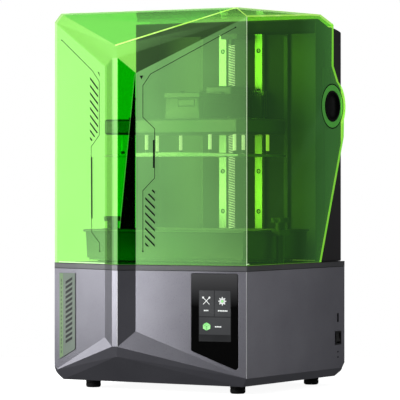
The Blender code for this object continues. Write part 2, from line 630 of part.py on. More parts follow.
def z_axis():
    """Two grooved rails, the lead screw between them, its bearings, and the motor below the deck."""
    half, front, back = RAIL_HALF, RAIL_FRONT, PLATE_Y - GAP
    waist = half - 0.0012
    flank = [(half, front), (half, front + 0.0022), (waist, front + 0.0034), (waist, front + 0.0050),
             (half, front + 0.0062), (half, back)]
    profile = flank + [(-x, y) for x, y in reversed(flank)]
    for side, sign in (("left", -1), ("right", 1)):
        rail = plate("rail_" + side, profile, "XY", (RAIL_LOW_Z + RAIL_TOP_Z) / 2,
                     RAIL_TOP_Z - RAIL_LOW_Z, STEEL)
        rail.location.x = sign * RAIL_X
    upper_low = 0.5160
    for name, low, high, wide, nose in (("screw_bearing_lower", 0.1842, 0.1960, 0.0180, 0.0075),
                                        ("screw_bearing_upper", upper_low, 0.5240, 0.0140, 0.0090)):
        block = box(name, (-wide, SCREW_Y - nose, low), (wide, PLATE_Y - GAP, high), BLACK_METAL)
        cut(block, rod(name + "_bore", SCREW_RADIUS + 0.0005, (0, SCREW_Y, low - 0.01), 0.04, "Z", None))
    motor = box("z_motor", (-0.0210, SCREW_Y - 0.0210, 0.1120), (0.0210, SCREW_Y + 0.0210, 0.1530),
                BLACK_METAL, 0.0030)
    join(motor, rod("motor_shaft", 0.0025, (0, SCREW_Y, 0.1500), 0.0067, "Z", None, 16))
    screw = rod("ball_screw", SCREW_RADIUS, (0, SCREW_Y, SCREW_LOW_Z), SCREW_TOP_Z - SCREW_LOW_Z, "Z",
                STEEL)
    top = SCREW_LOW_Z - GAP
    coupling = turned("shaft_coupling", [(0, top), (0.0080, top), (0.0085, top - 0.0005),
                                         (0.0085, 0.1690), (0.0080, 0.1685), (0.0085, 0.1680),
                                         (0.0085, 0.1575), (0.0080, 0.1570), (0, 0.1570)],
                      (0, SCREW_Y, 0), "Z", ALUMINIUM, 24)
    mount_on(empty("screw_axle", (0, SCREW_Y, 0), FRONT_LINE), screw, coupling)


def carriage():
    """The arm and what rides with it: rail blocks, nut, platform mount, platform and print sheet."""
    pivot = empty("carriage_slide", (0, SCREW_Y, ARM_LOW_Z), FRONT_LINE)
    arm = box("z_arm", (-ARM_HALF, ARM_FRONT, ARM_LOW_Z), (ARM_HALF, ARM_BACK, ARM_TOP_Z),
              BLACK_METAL, 0.0020)
    join(arm, box("arm_back", (-0.0460, ARM_BACK - 0.0070, ARM_LOW_Z),
                  (0.0460, ARM_BACK, ARM_TOP_Z), None, 0.0010))
    join(arm, box("arm_rise", (-RISE_HALF, RISE_FRONT, ARM_TOP_Z - 0.0010),
                  (RISE_HALF, ARM_BACK, RISE_TOP_Z), None, 0.0020))
    cut(arm, rod("nut_bore", 0.0103, (0, SCREW_Y, ARM_LOW_Z - 0.01), 0.0700, "Z", None))
    flange_low = ARM_LOW_Z - 0.0070
    nut = turned("ball_nut", [(0.0100, 0.4300), (0.0100, ARM_LOW_Z - GAP), (0.0140, ARM_LOW_Z - GAP),
                              (0.0140, flange_low), (0.0053, flange_low), (0.0053, 0.4300)],
                 (0, SCREW_Y, 0), "Z", STEEL, 24, ring=True)
    pieces = [arm, nut]
    for side, sign in (("left", -1), ("right", 1)):
        middle = sign * RAIL_X
        block = box("rail_block_" + side, (middle - 0.0132, ARM_BACK + GAP, 0.3990),
                    (middle + 0.0132, 0.2620, 0.4380), STEEL)
        slot = RAIL_HALF + 0.0004
        cut(block, box("rail_slot_" + side, (middle - slot, RAIL_FRONT - 0.0004, 0.39),
                       (middle + slot, 0.27, 0.45), None))
        pieces.append(block)
    return pivot, pieces


def platform(pivot, pieces):
    low, neck, top, front, back = SLAB_TOP_Z + GAP, 0.4242, 0.4325, 0.0910, ARM_FRONT - GAP
    riser = [Vector((side * half, y, z)) for side in (-1, 1)
             for z, half in ((low, 0.0296), (neck + 0.0010, 0.0282)) for y in (front, back)]
    mount = hull("platform_mount", riser, ALUMINIUM)
    join(mount, box("mount_cap", (-0.0310, front - 0.0010, neck), (0.0310, back, top), None, 0.0010))
    middle_x, middle_z, half_x, half_z = 0.0070, 0.4172, 0.0140, 0.0048
    play = 0.0004
    cut(mount, box("button_pocket", (middle_x - half_x - play, front - 0.01, middle_z - half_z - play),
                   (middle_x + half_x + play, 0.0995, middle_z + half_z + play), None))
    button = box("platform_release_button", (middle_x - half_x, front - 0.0004, middle_z - half_z),
                 (middle_x + half_x, front + 0.0040, middle_z + half_z), DARK, 0.0006)
    mount_on(empty("button_slide", (middle_x, front, middle_z), FRONT_LINE), button)
    back_y, front_y = CENTRE_Y + PLATFORM_HALF_Y, CENTRE_Y - PLATFORM_HALF_Y
    slab = box("platform_body", (-PLATFORM_HALF_X, front_y, SLAB_LOW_Z),
               (PLATFORM_HALF_X, back_y, SLAB_TOP_Z), ALUMINIUM, 0.0025)
    sheet = box("print_plate", (-PLATFORM_HALF_X, front_y, SHEET_LOW_Z),
                (PLATFORM_HALF_X, back_y, SHEET_TOP_Z), STEEL)
    start = SHEET_TOP_Z - 0.0010
    for y in POST_ROWS_Y:
        for x in POST_COLUMNS_X:
            for sign in (-1, 1):
                join(sheet, rod(f"post_{sign * x:.3f}_{y:.3f}", POST_RADIUS, (sign * x, y, start),
                                SLAB_LOW_Z - GAP - start, "Z", None, 12))
    mount_on(pivot, *pieces, mount, slab, sheet)


# ---------------------------------------------------------------- vat and tilting tray

def tray():
    """The tray under the vat, with a post for each knob and two knuckles on the tilt axis."""
    made = box("tilt_tray", (-TRAY_HALF, TRAY_FRONT, TRAY_LOW_Z), (TRAY_HALF, TRAY_BACK, TRAY_TOP_Z),
               ALUMINIUM)
    cut(made, box("light_opening", (-0.1100, CENTRE_Y - 0.0645, TRAY_LOW_Z - 0.01),
                  (0.1100, CENTRE_Y + 0.0645, TRAY_TOP_Z + 0.01), None))
    pieces = [made]
    knuckles = ((0.0860, 0.0994), (0.1126, 0.1260))
    low, reach = TILT_Z - 0.0045, 0.0060
    for side, sign in (("left", -1), ("right", 1)):
        join(made, rod("knob_post_" + side, 0.0060, (sign * KNOB_X, CENTRE_Y, TRAY_TOP_Z - 0.0010),
                       0.2242 - TRAY_TOP_Z + 0.0010, "Z", None, 16))
        for i, (inner, outer) in enumerate(knuckles):
            ends = sorted((sign * inner, sign * outer))
            join(made, box(f"knuckle_{side}_{i}", (ends[0], TILT_Y - reach, low),
                           (ends[1], TRAY_BACK - 0.0002, TRAY_LOW_Z + 0.0010), None))
        ends = sorted((sign * 0.1000, sign * 0.1120))
        bracket = box("tilt_bracket_" + side, (ends[0], TRAY_BACK + 0.0025, low),
                      (ends[1], 0.2250, BASE_TOP_Z + 0.0045), BLACK_METAL)
        join(bracket, box("bracket_arm_" + side, (ends[0], TILT_Y - reach, low),
                          (ends[1], TRAY_BACK + 0.0040, TRAY_LOW_Z - 0.0005), None))
        start = (min(sign * 0.0880, sign * 0.1240), TILT_Y, TILT_Z)
        pieces.append(rod("tilt_pin_" + side, 0.0020, start, 0.0360, "X", STEEL, 16))
        cut(bracket, rod("bracket_bore_" + side, 0.0024, (start[0] - 0.01, *start[1:]), 0.0560, "X",
                         None, 16))
        cut(made, rod("knuckle_bore_" + side, 0.0024, (start[0] - 0.01, *start[1:]), 0.0560, "X",
                      None, 16),
            rod("post_bore_" + side, 0.0034, (sign * KNOB_X, CENTRE_Y, 0.2100), 0.03, "Z", None, 16))
    return pieces


def vat():
    """Screen glass, release film in its clamp ring, and the vat's tapered frame with an ear a side."""
    top = TRAY_TOP_Z + GAP
    glass_top, film_low = top + 0.0022, top + 0.0026
    lcd = box("lcd_panel", (-0.1220, CENTRE_Y - 0.0745, top), (0.1220, CENTRE_Y + 0.0745, glass_top),
              SCREEN)
    film = box("release_film", (-0.1300, 0.0430, film_low), (0.1300, 0.2190, film_low + 0.0002), CLEAR)
    ring = box("film_clamp_ring", (-0.1310, 0.0420, film_low + 0.0005),
               (0.1310, 0.2200, VAT_LOW_Z - GAP), BLACK_METAL)
    cut(ring, box("ring_opening", (-0.1200, 0.0540, film_low - 0.01), (0.1200, 0.2080, VAT_LOW_Z), None))
    taper = 0.0015
    body = [Vector((side * (VAT_HALF - inset), y + step * inset, z)) for side in (-1, 1)
            for z, inset in ((VAT_LOW_Z, taper), (VAT_RIM_Z + 0.0010, 0))
            for y, step in ((VAT_FRONT, 1), (VAT_BACK, -1))]
    frame = hull("vat_frame", body, DARK)
    join(frame, box("vat_rim", (-VAT_HALF - 0.0030, VAT_FRONT - 0.0030, VAT_RIM_Z),
                    (VAT_HALF + 0.0030, VAT_BACK + 0.0020, VAT_TOP_Z), None, 0.0008))
    pieces = [lcd, film, ring, frame]
    for side, sign in (("left", -1), ("right", 1)):
        ends = sorted((sign * 0.1300, sign * 0.1525))
        join(frame, box("vat_ear_" + side, (ends[0], CENTRE_Y - 0.0140, 0.2245),
                        (ends[1], CENTRE_Y + 0.0140, VAT_TOP_Z), None))
        cut(frame, rod("ear_bore_" + side, 0.0035, (sign * KNOB_X, CENTRE_Y, 0.22), 0.02, "Z", None, 16))
    hollow = [Vector((side * half, y, z)) for side in (-1, 1)
              for z, half, ys in ((VAT_LOW_Z - 0.01, 0.1200, (0.0540, 0.2080)),
                                  (VAT_TOP_Z + 0.01, 0.1265, (0.0470, 0.2150))) for y in ys]
    cut(frame, hull("vat_hollow", hollow, None))
    return pieces


def vat_knobs():
    profile = [(0, 0.2500), (0.0122, 0.2500), (0.0133, 0.2490), (0.0133, 0.2434), (0.0125, 0.2424),
               (0.0080, 0.2424), (0.0080, 0.2323), (0.0030, 0.2323), (0.0030, 0.2120), (0, 0.2120)]
    for side, sign in (("left", -1), ("right", 1)):
        knob = turned("vat_knob_" + side, profile, (sign * KNOB_X, CENTRE_Y, 0), "Z", ALUMINIUM, 24)
        mount_on(empty("knob_axle_" + side, (sign * KNOB_X, CENTRE_Y, 0), FRONT_LINE), knob)


def tilt_drive():
    """The motor that lets the tray down, with an eccentric cam under the tray's left edge."""
    motor = rod("tilt_motor", 0.0140, (-0.1580, CAM_Y, CAM_Z), 0.0300, "X", BLACK_METAL, 24)
    join(motor, rod("cam_shaft", 0.0025, (-0.1300, CAM_Y, CAM_Z), 0.0090, "X", None, 12))
    cam = rod("tilt_cam", CAM_RADIUS, (-0.1275, CAM_Y, CAM_Z + CAM_THROW), 0.0075, "X", WHITE, 32)
    cut(cam, rod("cam_bore", 0.0030, (-0.1300, CAM_Y, CAM_Z), 0.0150, "X", None, 12))
    mount_on(empty("cam_axle", (-0.1275, CAM_Y, CAM_Z), FRONT_LINE), cam)


base_housing()
top_deck()
bottom_plate()
feet()
touch_screen()
label_plate()
power_switch()
sockets()
light_engine()
electronics()
tower()
hinge()
lid()
z_axis()
platform(*carriage())
mount_on(empty("tilt_pivot", (0, TILT_Y, TILT_Z), FRONT_LINE), *tray(), *vat())
vat_knobs()
tilt_drive()
bpy.context.view_layer.update()
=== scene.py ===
import json
import math

import bmesh
import bpy
from mathutils import Matrix, Vector


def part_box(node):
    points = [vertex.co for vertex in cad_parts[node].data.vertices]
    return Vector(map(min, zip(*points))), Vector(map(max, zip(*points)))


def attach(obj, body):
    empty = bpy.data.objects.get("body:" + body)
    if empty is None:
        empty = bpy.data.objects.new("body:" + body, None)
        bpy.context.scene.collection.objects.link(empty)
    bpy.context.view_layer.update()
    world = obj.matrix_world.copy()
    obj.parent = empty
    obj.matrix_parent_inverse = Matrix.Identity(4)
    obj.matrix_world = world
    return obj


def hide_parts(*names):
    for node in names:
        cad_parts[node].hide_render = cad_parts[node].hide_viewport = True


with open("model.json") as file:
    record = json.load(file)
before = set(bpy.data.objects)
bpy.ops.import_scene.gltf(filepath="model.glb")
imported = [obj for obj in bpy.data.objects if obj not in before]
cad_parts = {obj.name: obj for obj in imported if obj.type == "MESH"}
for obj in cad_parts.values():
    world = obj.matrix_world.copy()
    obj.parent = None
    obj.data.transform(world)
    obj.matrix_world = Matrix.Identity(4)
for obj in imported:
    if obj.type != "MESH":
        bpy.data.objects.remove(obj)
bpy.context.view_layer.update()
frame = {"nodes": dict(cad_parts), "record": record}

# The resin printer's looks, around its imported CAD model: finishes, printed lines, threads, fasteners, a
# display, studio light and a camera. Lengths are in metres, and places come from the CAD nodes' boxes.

NODES = frame["nodes"]
UP, INWARD = Vector((0, 0, 1)), Vector((0, 1, 0))
SIDES = (("left", -1), ("right", 1))

# ---- places, from the CAD

LID_LOW, LID_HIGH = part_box("lid_shell")
BASE_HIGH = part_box("base_housing")[1]
HALF = LID_HIGH.x
PROW_DEPTH, SHOULDER_DEPTH = 0.0434, 0.0289
FRONT = LID_LOW.y + PROW_DEPTH  # the line of the two front corners
BACK = BASE_HIGH.y
CORNER_LEFT, CORNER_RIGHT = Vector((-HALF, FRONT, 0)), Vector((HALF, FRONT, 0))
SHOULDER_LEFT = Vector((-0.0563, FRONT - SHOULDER_DEPTH, 0))
SHOULDER_RIGHT = Vector((-0.0037, FRONT - SHOULDER_DEPTH, 0))
RIDGE_RIGHT = Vector((-0.0253, LID_LOW.y, 0))
WELD = 0.00002
HAIR = 0.00002  # how far a part stands clear of, or dips into, the face it touches
PROUD = 0.00016  # how far printed lines stand off the lid
LABEL_FACE = -0.0011  # the label plate's face, against the left panel
SCREEN_FACE = -0.0006  # the touch screen's face, against the right panel
BROKEN = 0.0005  # the chamfer on small turned parts


def centre_of(name):
    """The centre of a CAD node's box."""
    low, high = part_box(name)
    return (low + high) / 2


HINGE = centre_of("hinge_hub_right")


def panel(start, end):
    """The frame of an upright wall: x runs from start to end, y goes inwards and z is up."""
    along = (end - start).normalized()
    turn = Matrix((along, UP.cross(along), UP)).transposed().to_4x4()
    return Matrix.Translation(start) @ turn


LEFT_PANEL = panel(CORNER_LEFT, SHOULDER_LEFT)
RIGHT_FLANK = panel(RIDGE_RIGHT, SHOULDER_RIGHT)
RIGHT_PANEL = panel(SHOULDER_RIGHT, CORNER_RIGHT)
RIGHT_WALL = panel(CORNER_RIGHT, Vector((HALF, BACK, 0)))

# ---- finishes


def node(tree, kind, inputs=None, output=0, **settings):
    """Adds a shader node, links or sets its inputs, and returns one of its outputs."""
    made = tree.nodes.new("ShaderNode" + kind)
    for key, value in settings.items():
        setattr(made, key, value)
    for key, value in (inputs or {}).items():
        if isinstance(value, bpy.types.NodeSocket):
            tree.links.new(value, made.inputs[key])
        else:
            made.inputs[key].default_value = value
    return made.outputs[output] if made.outputs else None


def blank(name):
    """A material with only an output, and its node tree."""
    made = bpy.data.materials.new(name)
    made.use_nodes = True
    made.node_tree.nodes.clear()
    return made, made.node_tree


def noise(tree, scale, detail=3.0, stretch=(1, 1, 1)):
    """A noise in the object's own metres, drawn out along an axis where stretch is small."""
    where = node(tree, "TexCoord", output="Object")
    drawn = node(tree, "Mapping", {"Vector": where, "Scale": stretch})
    return node(tree, "TexNoise", {"Vector": drawn, "Scale": scale, "Detail": detail})


def ranged(tree, value, start, end, low=0.0, high=1.0):
    """A number that goes from low to high while value goes from start to end."""
    return node(tree, "MapRange", {"Value": value, "From Min": start, "From Max": end, "To Min": low,
                                   "To Max": high})


def between(tree, factor, low, high):
    """A number that follows a noise from low to high."""
    return ranged(tree, factor, 0.3, 0.7, low, high)


def along(tree, axis, start, end, low, high):
    """A number that goes from low to high between two places on an axis of the object."""
    where = node(tree, "TexCoord", output="Object")
    return ranged(tree, node(tree, "SeparateXYZ", {"Vector": where}, axis), start, end, low, high)


def blend_colours(tree, factor, first, second):
    """A colour between two colours or colour sockets."""
    mixed = node(tree, "Mix", data_type="RGBA").node
    for key, value in (("Factor", factor), ("A", first), ("B", second)):
        socket = next(s for s in mixed.inputs if s.name == key and s.enabled)
        if isinstance(value, bpy.types.NodeSocket):
            tree.links.new(value, socket)
        else:
            socket.default_value = (*value, 1.0)
    return next(s for s in mixed.outputs if s.enabled)


def surface(name, tones, rough, grain, bump=0.1, stretch=(1, 1, 1), metallic=0.0, coat=0.0,
            specular=0.5, fade=None):
    """A solid finish: two tones in soft clouds and fine grain, with the grain in gloss and relief too. A
    fade (axis, start, end, colour) turns it to a third tone along an axis."""
    made, tree = blank(name)
    fine = noise(tree, grain, 4.0, stretch)
    soft = noise(tree, 14.0, 2.0)
    mottle = node(tree, "Math", {0: fine, 1: soft}, operation="MULTIPLY")
    relief = node(tree, "Bump", {"Height": fine, "Strength": bump, "Distance": 0.0003})
    colour = blend_colours(tree, ranged(tree, mottle, 0.12, 0.42), *tones)
    if fade:
        axis, start, end, last = fade
        colour = blend_colours(tree, along(tree, axis, start, end, 0.0, 1.0), colour, last)
    shader = node(tree, "BsdfPrincipled", {
        "Base Color": colour, "Roughness": between(tree, fine, *rough),
        "Metallic": metallic, "Coat Weight": coat, "Coat Roughness": 0.08, "Specular IOR Level": specular,
        "Normal": relief})
    node(tree, "OutputMaterial", {"Surface": shader})
    return made


def acrylic(name, through, tint, haze, rough=(0.3, 0.34), metallic=0.3, mirror=0.4, painted_glow=0.0,
            painted_falloff=("X", 0, 1, 1, 1)):
    """Tinted clear plastic: it filters what is behind it, shows a haze where the lamps light it, and mirrors
    more at a grazing angle. It gives off a painted glow, and an axis scales its haze as a painted falloff."""
    made, tree = blank(name)
    cloud = noise(tree, 9.0, 2.0)
    facing = node(tree, "LayerWeight", {"Blend": 0.5}, "Facing")
    grazing = node(tree, "Math", {0: facing, 1: 5.0}, operation="POWER")
    # The haze's share is scaled along an axis: a painted falloff of light.
    veil = node(tree, "Math", {0: between(tree, cloud, 0.92 * haze, 1.08 * haze), 1: along(tree, *painted_falloff)},
                operation="MULTIPLY")
    share = node(tree, "Math", {0: grazing, 1: mirror, 2: veil}, operation="MULTIPLY_ADD", use_clamp=True)
    filtered = node(tree, "BsdfTransparent", {"Color": (*through, 1.0)})
    # Its emission is a painted glow: the plastic gives off light with no lamp on it.
    body = node(tree, "BsdfPrincipled", {
        "Base Color": (*tint, 1.0), "Metallic": metallic, "Emission Color": (*tint, 1.0),
        "Emission Strength": painted_glow, "Roughness": between(tree, noise(tree, 40.0), *rough)})
    mixed = node(tree, "MixShader", {0: share, 1: filtered, 2: body})
    node(tree, "OutputMaterial", {"Surface": mixed})
    return made


def glowing(name, tones, strength, clear, grain=60.0):
    """Gives off its own colour, unevenly: a lit display, and painted glow on lid edges, pins and crests."""
    made, tree = blank(name)
    patches = noise(tree, grain, 2.0)
    colour = blend_colours(tree, between(tree, patches, 0.0, 1.0), *tones)
    lit = node(tree, "BsdfPrincipled", {
        "Base Color": colour, "Emission Color": colour, "Emission Strength": strength,
        "Roughness": between(tree, patches, 0.15, 0.3)})
    if clear:
        filtered = node(tree, "BsdfTransparent", {"Color": (0.75, 1.0, 0.55, 1.0)})
        lit = node(tree, "MixShader", {0: 1 - clear, 1: filtered, 2: lit})
    node(tree, "OutputMaterial", {"Surface": lit})
    return made


CASE = surface("case_enamel", ((0.315, 0.31, 0.355), (0.39, 0.385, 0.435)), (0.27, 0.35), 1500, 0.08,
               metallic=0.8, coat=0.15)
# A darker copy of the case's enamel for the ridge face: painted shade.
RIDGE_PAINTED_SHADE = surface("ridge_enamel_painted_shade", ((0.225, 0.221, 0.252), (0.278, 0.274, 0.31)), (0.27, 0.35), 1500, 0.08,
                metallic=0.8, coat=0.15)
# Pale strips on two corners: a painted highlight.
CORNER_PAINTED_HIGHLIGHT = surface("corner_painted_highlight", ((0.9, 0.9, 0.92), (0.97, 0.97, 0.98)), (0.3, 0.4), 1500, 0.02,
               metallic=0.15)
RIM = surface("rim_enamel", ((0.14, 0.143, 0.15), (0.18, 0.182, 0.19)), (0.34, 0.46), 1500, 0.08,
              metallic=0.6)
TOWER = surface("tower_moulding", ((0.072, 0.068, 0.072), (0.1, 0.094, 0.1)), (0.46, 0.58), 900, 0.15,
                specular=0.18)
PANEL = surface("panel_moulding", ((0.085, 0.085, 0.09), (0.12, 0.12, 0.125)), (0.45, 0.6), 900, 0.15)
BLACK = surface("black_moulding", ((0.01, 0.01, 0.011), (0.02, 0.02, 0.022)), (0.3, 0.42), 1200, 0.1)
RUBBER = surface("rubber", ((0.008, 0.008, 0.008), (0.018, 0.018, 0.018)), (0.65, 0.85), 700, 0.3)
STEEL = surface("ground_steel", ((0.5, 0.51, 0.53), (0.62, 0.63, 0.65)), (0.2, 0.32), 900, 0.02,
                stretch=(1, 1, 0.03), metallic=1.0)
SCREW_STEEL = surface("screw_steel", ((0.8, 0.81, 0.82), (0.92, 0.93, 0.94)), (0.14, 0.24), 1200, 0.02,
                      metallic=1.0)
ALUMINIUM = surface("blasted_aluminium", ((0.52, 0.53, 0.54), (0.64, 0.65, 0.66)), (0.36, 0.48), 1400, 0.18,
                    metallic=0.9)
SLATE = surface("grey_anodised", ((0.085, 0.087, 0.089), (0.112, 0.114, 0.116)), (0.36, 0.46), 1400, 0.15,
                metallic=0.8)
STEEL_SHEET = surface("sheet_steel", ((0.3, 0.305, 0.31), (0.38, 0.385, 0.39)), (0.34, 0.44), 1400, 0.08,
                      metallic=0.8)
VAT = surface("vat_anodised", ((0.08, 0.082, 0.085), (0.11, 0.113, 0.115)), (0.36, 0.46), 1400, 0.15,
              metallic=0.7)
RAIL_STEEL = surface("rail_steel", ((0.42, 0.425, 0.43), (0.48, 0.485, 0.49)), (0.3, 0.36), 2400, 0.02,
                     metallic=0.9)
ANODISED = surface("black_anodised", ((0.07, 0.072, 0.078), (0.105, 0.108, 0.115)), (0.32, 0.45), 1300,
                   0.12, metallic=0.8)
PLATE = surface("guide_plate_enamel", ((0.045, 0.046, 0.048), (0.06, 0.061, 0.064)), (0.5, 0.6), 1300, 0.08,
                specular=0.15)
BLACK_METAL = surface("black_steel", ((0.022, 0.022, 0.024), (0.035, 0.035, 0.038)), (0.36, 0.5), 1000,
                      0.12, metallic=0.5)
BOARD = surface("circuit_board", ((0.012, 0.1, 0.045), (0.02, 0.15, 0.07)), (0.35, 0.5), 500, 0.2)
ACETAL = surface("white_acetal", ((0.62, 0.62, 0.6), (0.74, 0.74, 0.72)), (0.35, 0.45), 600, 0.1)
GLASS_BLACK = surface("black_glass", ((0.001, 0.001, 0.001), (0.003, 0.003, 0.003)), (0.05, 0.09), 300,
                      0.0, specular=0.3)
# Black glass with a painted reflection: grey at the top, fading to black lower down.
GLASS_PAINTED_REFLECTION = surface("glass_painted_reflection", ((0.001, 0.001, 0.001), (0.003, 0.003, 0.003)), (0.05, 0.09), 300,
                      0.0, specular=0.3, fade=("Z", 0.125, 0.172, (0.12, 0.12, 0.125)))
HUB_BLACK = surface("hub_moulding", ((0.001, 0.002, 0.001), (0.002, 0.004, 0.002)), (0.3, 0.4), 1200, 0.1,
                    specular=0.12)
INK = surface("green_black_ink", ((0.001, 0.006, 0.002), (0.002, 0.01, 0.003)), (0.5, 0.6), 900, 0.1,
              specular=0.1)
LABEL = surface("label_print", ((0.175, 0.225, 0.182), (0.235, 0.29, 0.235)), (0.35, 0.5), 900, 0.05)
STRIPE = surface("label_stripe", ((0.2, 0.33, 0.155), (0.255, 0.4, 0.2)), (0.35, 0.5), 900, 0.05)
BAR_INK = surface("label_ink", ((0.012, 0.014, 0.014), (0.026, 0.028, 0.028)), (0.4, 0.5), 900, 0.05)
# Copies of the lid's acrylic, one for each kind of facet; most give off a painted glow.
LID_GREEN = acrylic("lid_acrylic", (0.74, 0.96, 0.57), (0.5, 0.9, 0.44), 0.065, painted_glow=0.25)
# The side wall's haze has a painted falloff: it grows lighter towards the back.
LID_SIDE = acrylic("lid_acrylic_side", (0.64, 0.97, 0.26), (0.18, 0.5, 0.2), 0.045, painted_glow=0.6,
                   painted_falloff=("Y", 0.03, 0.12, 1.0, 3.2))
# The right panel's haze has a painted falloff: it grows lighter towards the left.
LID_RIGHT = acrylic("lid_acrylic_right", (0.8, 0.98, 0.66), (0.46, 0.93, 0.39), 0.12, painted_glow=0.75,
                    painted_falloff=("X", 0.0, HALF, 1.65, 0.85))
# The flanks' copy is a darker filter: painted shade.
LID_FLANK_PAINTED_SHADE = acrylic("lid_acrylic_flank", (0.58, 0.82, 0.42), (0.5, 0.9, 0.44), 0.06)
# The corners' lines are a painted highlight, lit with no lamp on them.
LID_CORNER_PAINTED_HIGHLIGHT = glowing("lid_corner_painted_highlight", ((0.62, 0.92, 0.46), (0.8, 1.0, 0.68)), 0.55, 0.15)
# The hinge bosses' acrylic gives off a painted glow.
LID_BOSS_PAINTED_GLOW = acrylic("lid_boss", (0.6, 0.97, 0.4), (0.16, 0.55, 0.12), 0.35, painted_glow=0.5)
LID_FRONT = acrylic("lid_acrylic_front", (0.8, 0.98, 0.66), (0.46, 0.93, 0.39), 0.12, painted_glow=0.75)
LID_ROOF = acrylic("lid_acrylic_roof", (0.75, 0.97, 0.62), (0.48, 0.98, 0.37), 0.08, (0.06, 0.1), 1.0, 0.9)
LID_BROW = acrylic("lid_acrylic_brow", (0.58, 0.93, 0.5), (0.46, 0.86, 0.36), 0.09, painted_glow=0.5)
# The right flank's copy is a much darker filter: painted shade.
LID_RIGHT_FLANK_PAINTED_SHADE = acrylic("lid_acrylic_painted_shade_right_flank", (0.05, 0.68, 0.04), (0.1, 0.5, 0.1), 0.0, (0.2, 0.3))
# The brow and cut rims give off a painted glow.
LID_EDGE_PAINTED_GLOW = glowing("lid_edge_painted_glow", ((0.46, 1.0, 0.1), (0.66, 1.0, 0.26)), 0.62, 0.15)
# A near-black filter: painted shade on the right flank.
LID_PAINTED_SHADE = acrylic("lid_painted_shade", (0.004, 0.012, 0.004), (0.02, 0.05, 0.02), 0.0, (0.3, 0.4))
FILM = acrylic("release_film", (0.93, 0.96, 0.97), (0.9, 0.95, 1.0), 0.1, (0.04, 0.08), 0.5)
# The sheet's posts give off a painted glow in place of the light on them.
POST_PAINTED_GLOW = glowing("post_pin_painted_glow", ((0.72, 0.76, 0.6), (0.84, 0.88, 0.72)), 0.7, 0.0, 90.0)
# The thread's crests give off a painted highlight.
CREST_PAINTED_HIGHLIGHT = glowing("thread_crest_painted_highlight", ((0.7, 0.74, 0.6), (0.84, 0.88, 0.74)), 1.1, 0.0, 90.0)
DISPLAY = glowing("display_ground", ((0.02, 0.021, 0.022), (0.028, 0.029, 0.031)), 0.35, 0.0, 20.0)
TILE = glowing("display_tile", ((0.05, 0.052, 0.055), (0.06, 0.062, 0.065)), 0.45, 0.0, 20.0)
ICON = glowing("display_white", ((0.75, 0.78, 0.76), (0.85, 0.88, 0.86)), 0.7, 0.0, 40.0)
ICON_GREEN = glowing("display_green", ((0.22, 0.7, 0.2), (0.45, 0.9, 0.38)), 0.7, 0.0, 150.0)

# ---- shapes


def block(bm, low, high, where=Matrix()):
    """Adds a box between two corners."""
    low, high = Vector(low), Vector(high)
    size = Matrix.Diagonal((*(high - low), 1.0))
    bmesh.ops.create_cube(bm, size=1.0, matrix=where @ Matrix.Translation((low + high) / 2) @ size)


def band(bm, first, second):
    """The faces between two rings of as many corners."""
    made = []
    for i in range(len(first)):
        j = (i + 1) % len(first)
        made.append(bm.faces.new((first[i], first[j], second[j], second[i])))
    return made


def prism(bm, outline, where, near, far):
    """Adds a flat outline in a wall's plane, between two depths behind the wall's face."""
    front = [bm.verts.new(where @ Vector((x, near, z))) for x, z in outline]
    rear = [bm.verts.new(where @ Vector((x, far, z))) for x, z in outline]
    bm.faces.new(front)
    bm.faces.new(list(reversed(rear)))
    band(bm, rear, front)


def rectangle(left, low, right, high):
    """The outline of an upright rectangle."""
    return (left, low), (right, low), (right, high), (left, high)


def ribbon(points, width):
    """The outline of a line of even width through points, with mitred corners."""
    points = [Vector(point) for point in points]
    sides = ([], [])
    for i, point in enumerate(points):
        near = points[max(i - 1, 0):i + 2]
        steps = [(b - a).normalized() for a, b in zip(near, near[1:])]
        tangent = sum(steps, Vector((0, 0))).normalized()
        normal = Vector((-tangent.y, tangent.x))
        reach = width / 2 / max(0.3, abs(tangent.dot(steps[-1])))
        sides[0].append(point + normal * reach)
        sides[1].append(point - normal * reach)
    return sides[0] + sides[1][::-1]


def clipped(outline, start, end):
    """What of an outline lies to the left of the line from start to end."""
    normal = Vector((start[1] - end[1], end[0] - start[0]))
    sides = [normal.dot(Vector(point) - Vector(start)) for point in outline]
    kept = []
    for i, (point, side) in enumerate(zip(outline, sides)):
        following, other = outline[(i + 1) % len(outline)], sides[(i + 1) % len(outline)]
        if side >= 0:
            kept.append(tuple(point))
        if side * other < 0:
            kept.append(tuple(Vector(point).lerp(Vector(following), side / (side - other))))
    return kept


def circle(centre, radius, count=24, start=0.0, end=360.0):
    """Points round a circle, or along an arc of it with both its ends, between angles in degrees."""
    whole = end - start == 360
    steps = count if whole else count - 1
    turns = [math.radians(start + (end - start) * i / steps) for i in range(count)]
    return [(centre[0] + radius * math.cos(t), centre[1] + radius * math.sin(t)) for t in turns]


def lathe(bm, profile, where, steps=48):
    """Adds a turned solid from (radius, height) points: a disc where they end on the axis, or a ring."""
    rings = []
    for radius, height in profile:
        count = steps if radius > 0 else 1
        rings.append([bm.verts.new(where @ Vector((radius * math.cos(math.tau * i / steps),
                                                   radius * math.sin(math.tau * i / steps), height)))
                      for i in range(count)])
    closed = len(rings[0]) == len(rings[-1]) == steps
    for first, second in list(zip(rings, rings[1:])) + ([(rings[-1], rings[0])] if closed else []):
        for i in range(steps):
            j = (i + 1) % steps
            corners = [first[i % len(first)], first[j % len(first)], second[j % len(second)],
                       second[i % len(second)]]
            bm.faces.new(list(dict.fromkeys(corners)))


def upright(place):
    """A frame over a place on the ground plane, with z up."""
    return Matrix.Translation((place[0], place[1], 0))


def axis_frame(origin, axis):
    """A frame at origin whose z runs along axis."""
    return Matrix.Translation(origin) @ Vector(axis).to_track_quat("Z", "Y").to_matrix().to_4x4()


def mesh_of(name, bm):
    """A mesh of the shapes in bm, which is freed."""
    mesh = bpy.data.meshes.new(name)
    bm.to_mesh(mesh)
    bm.free()
    return mesh


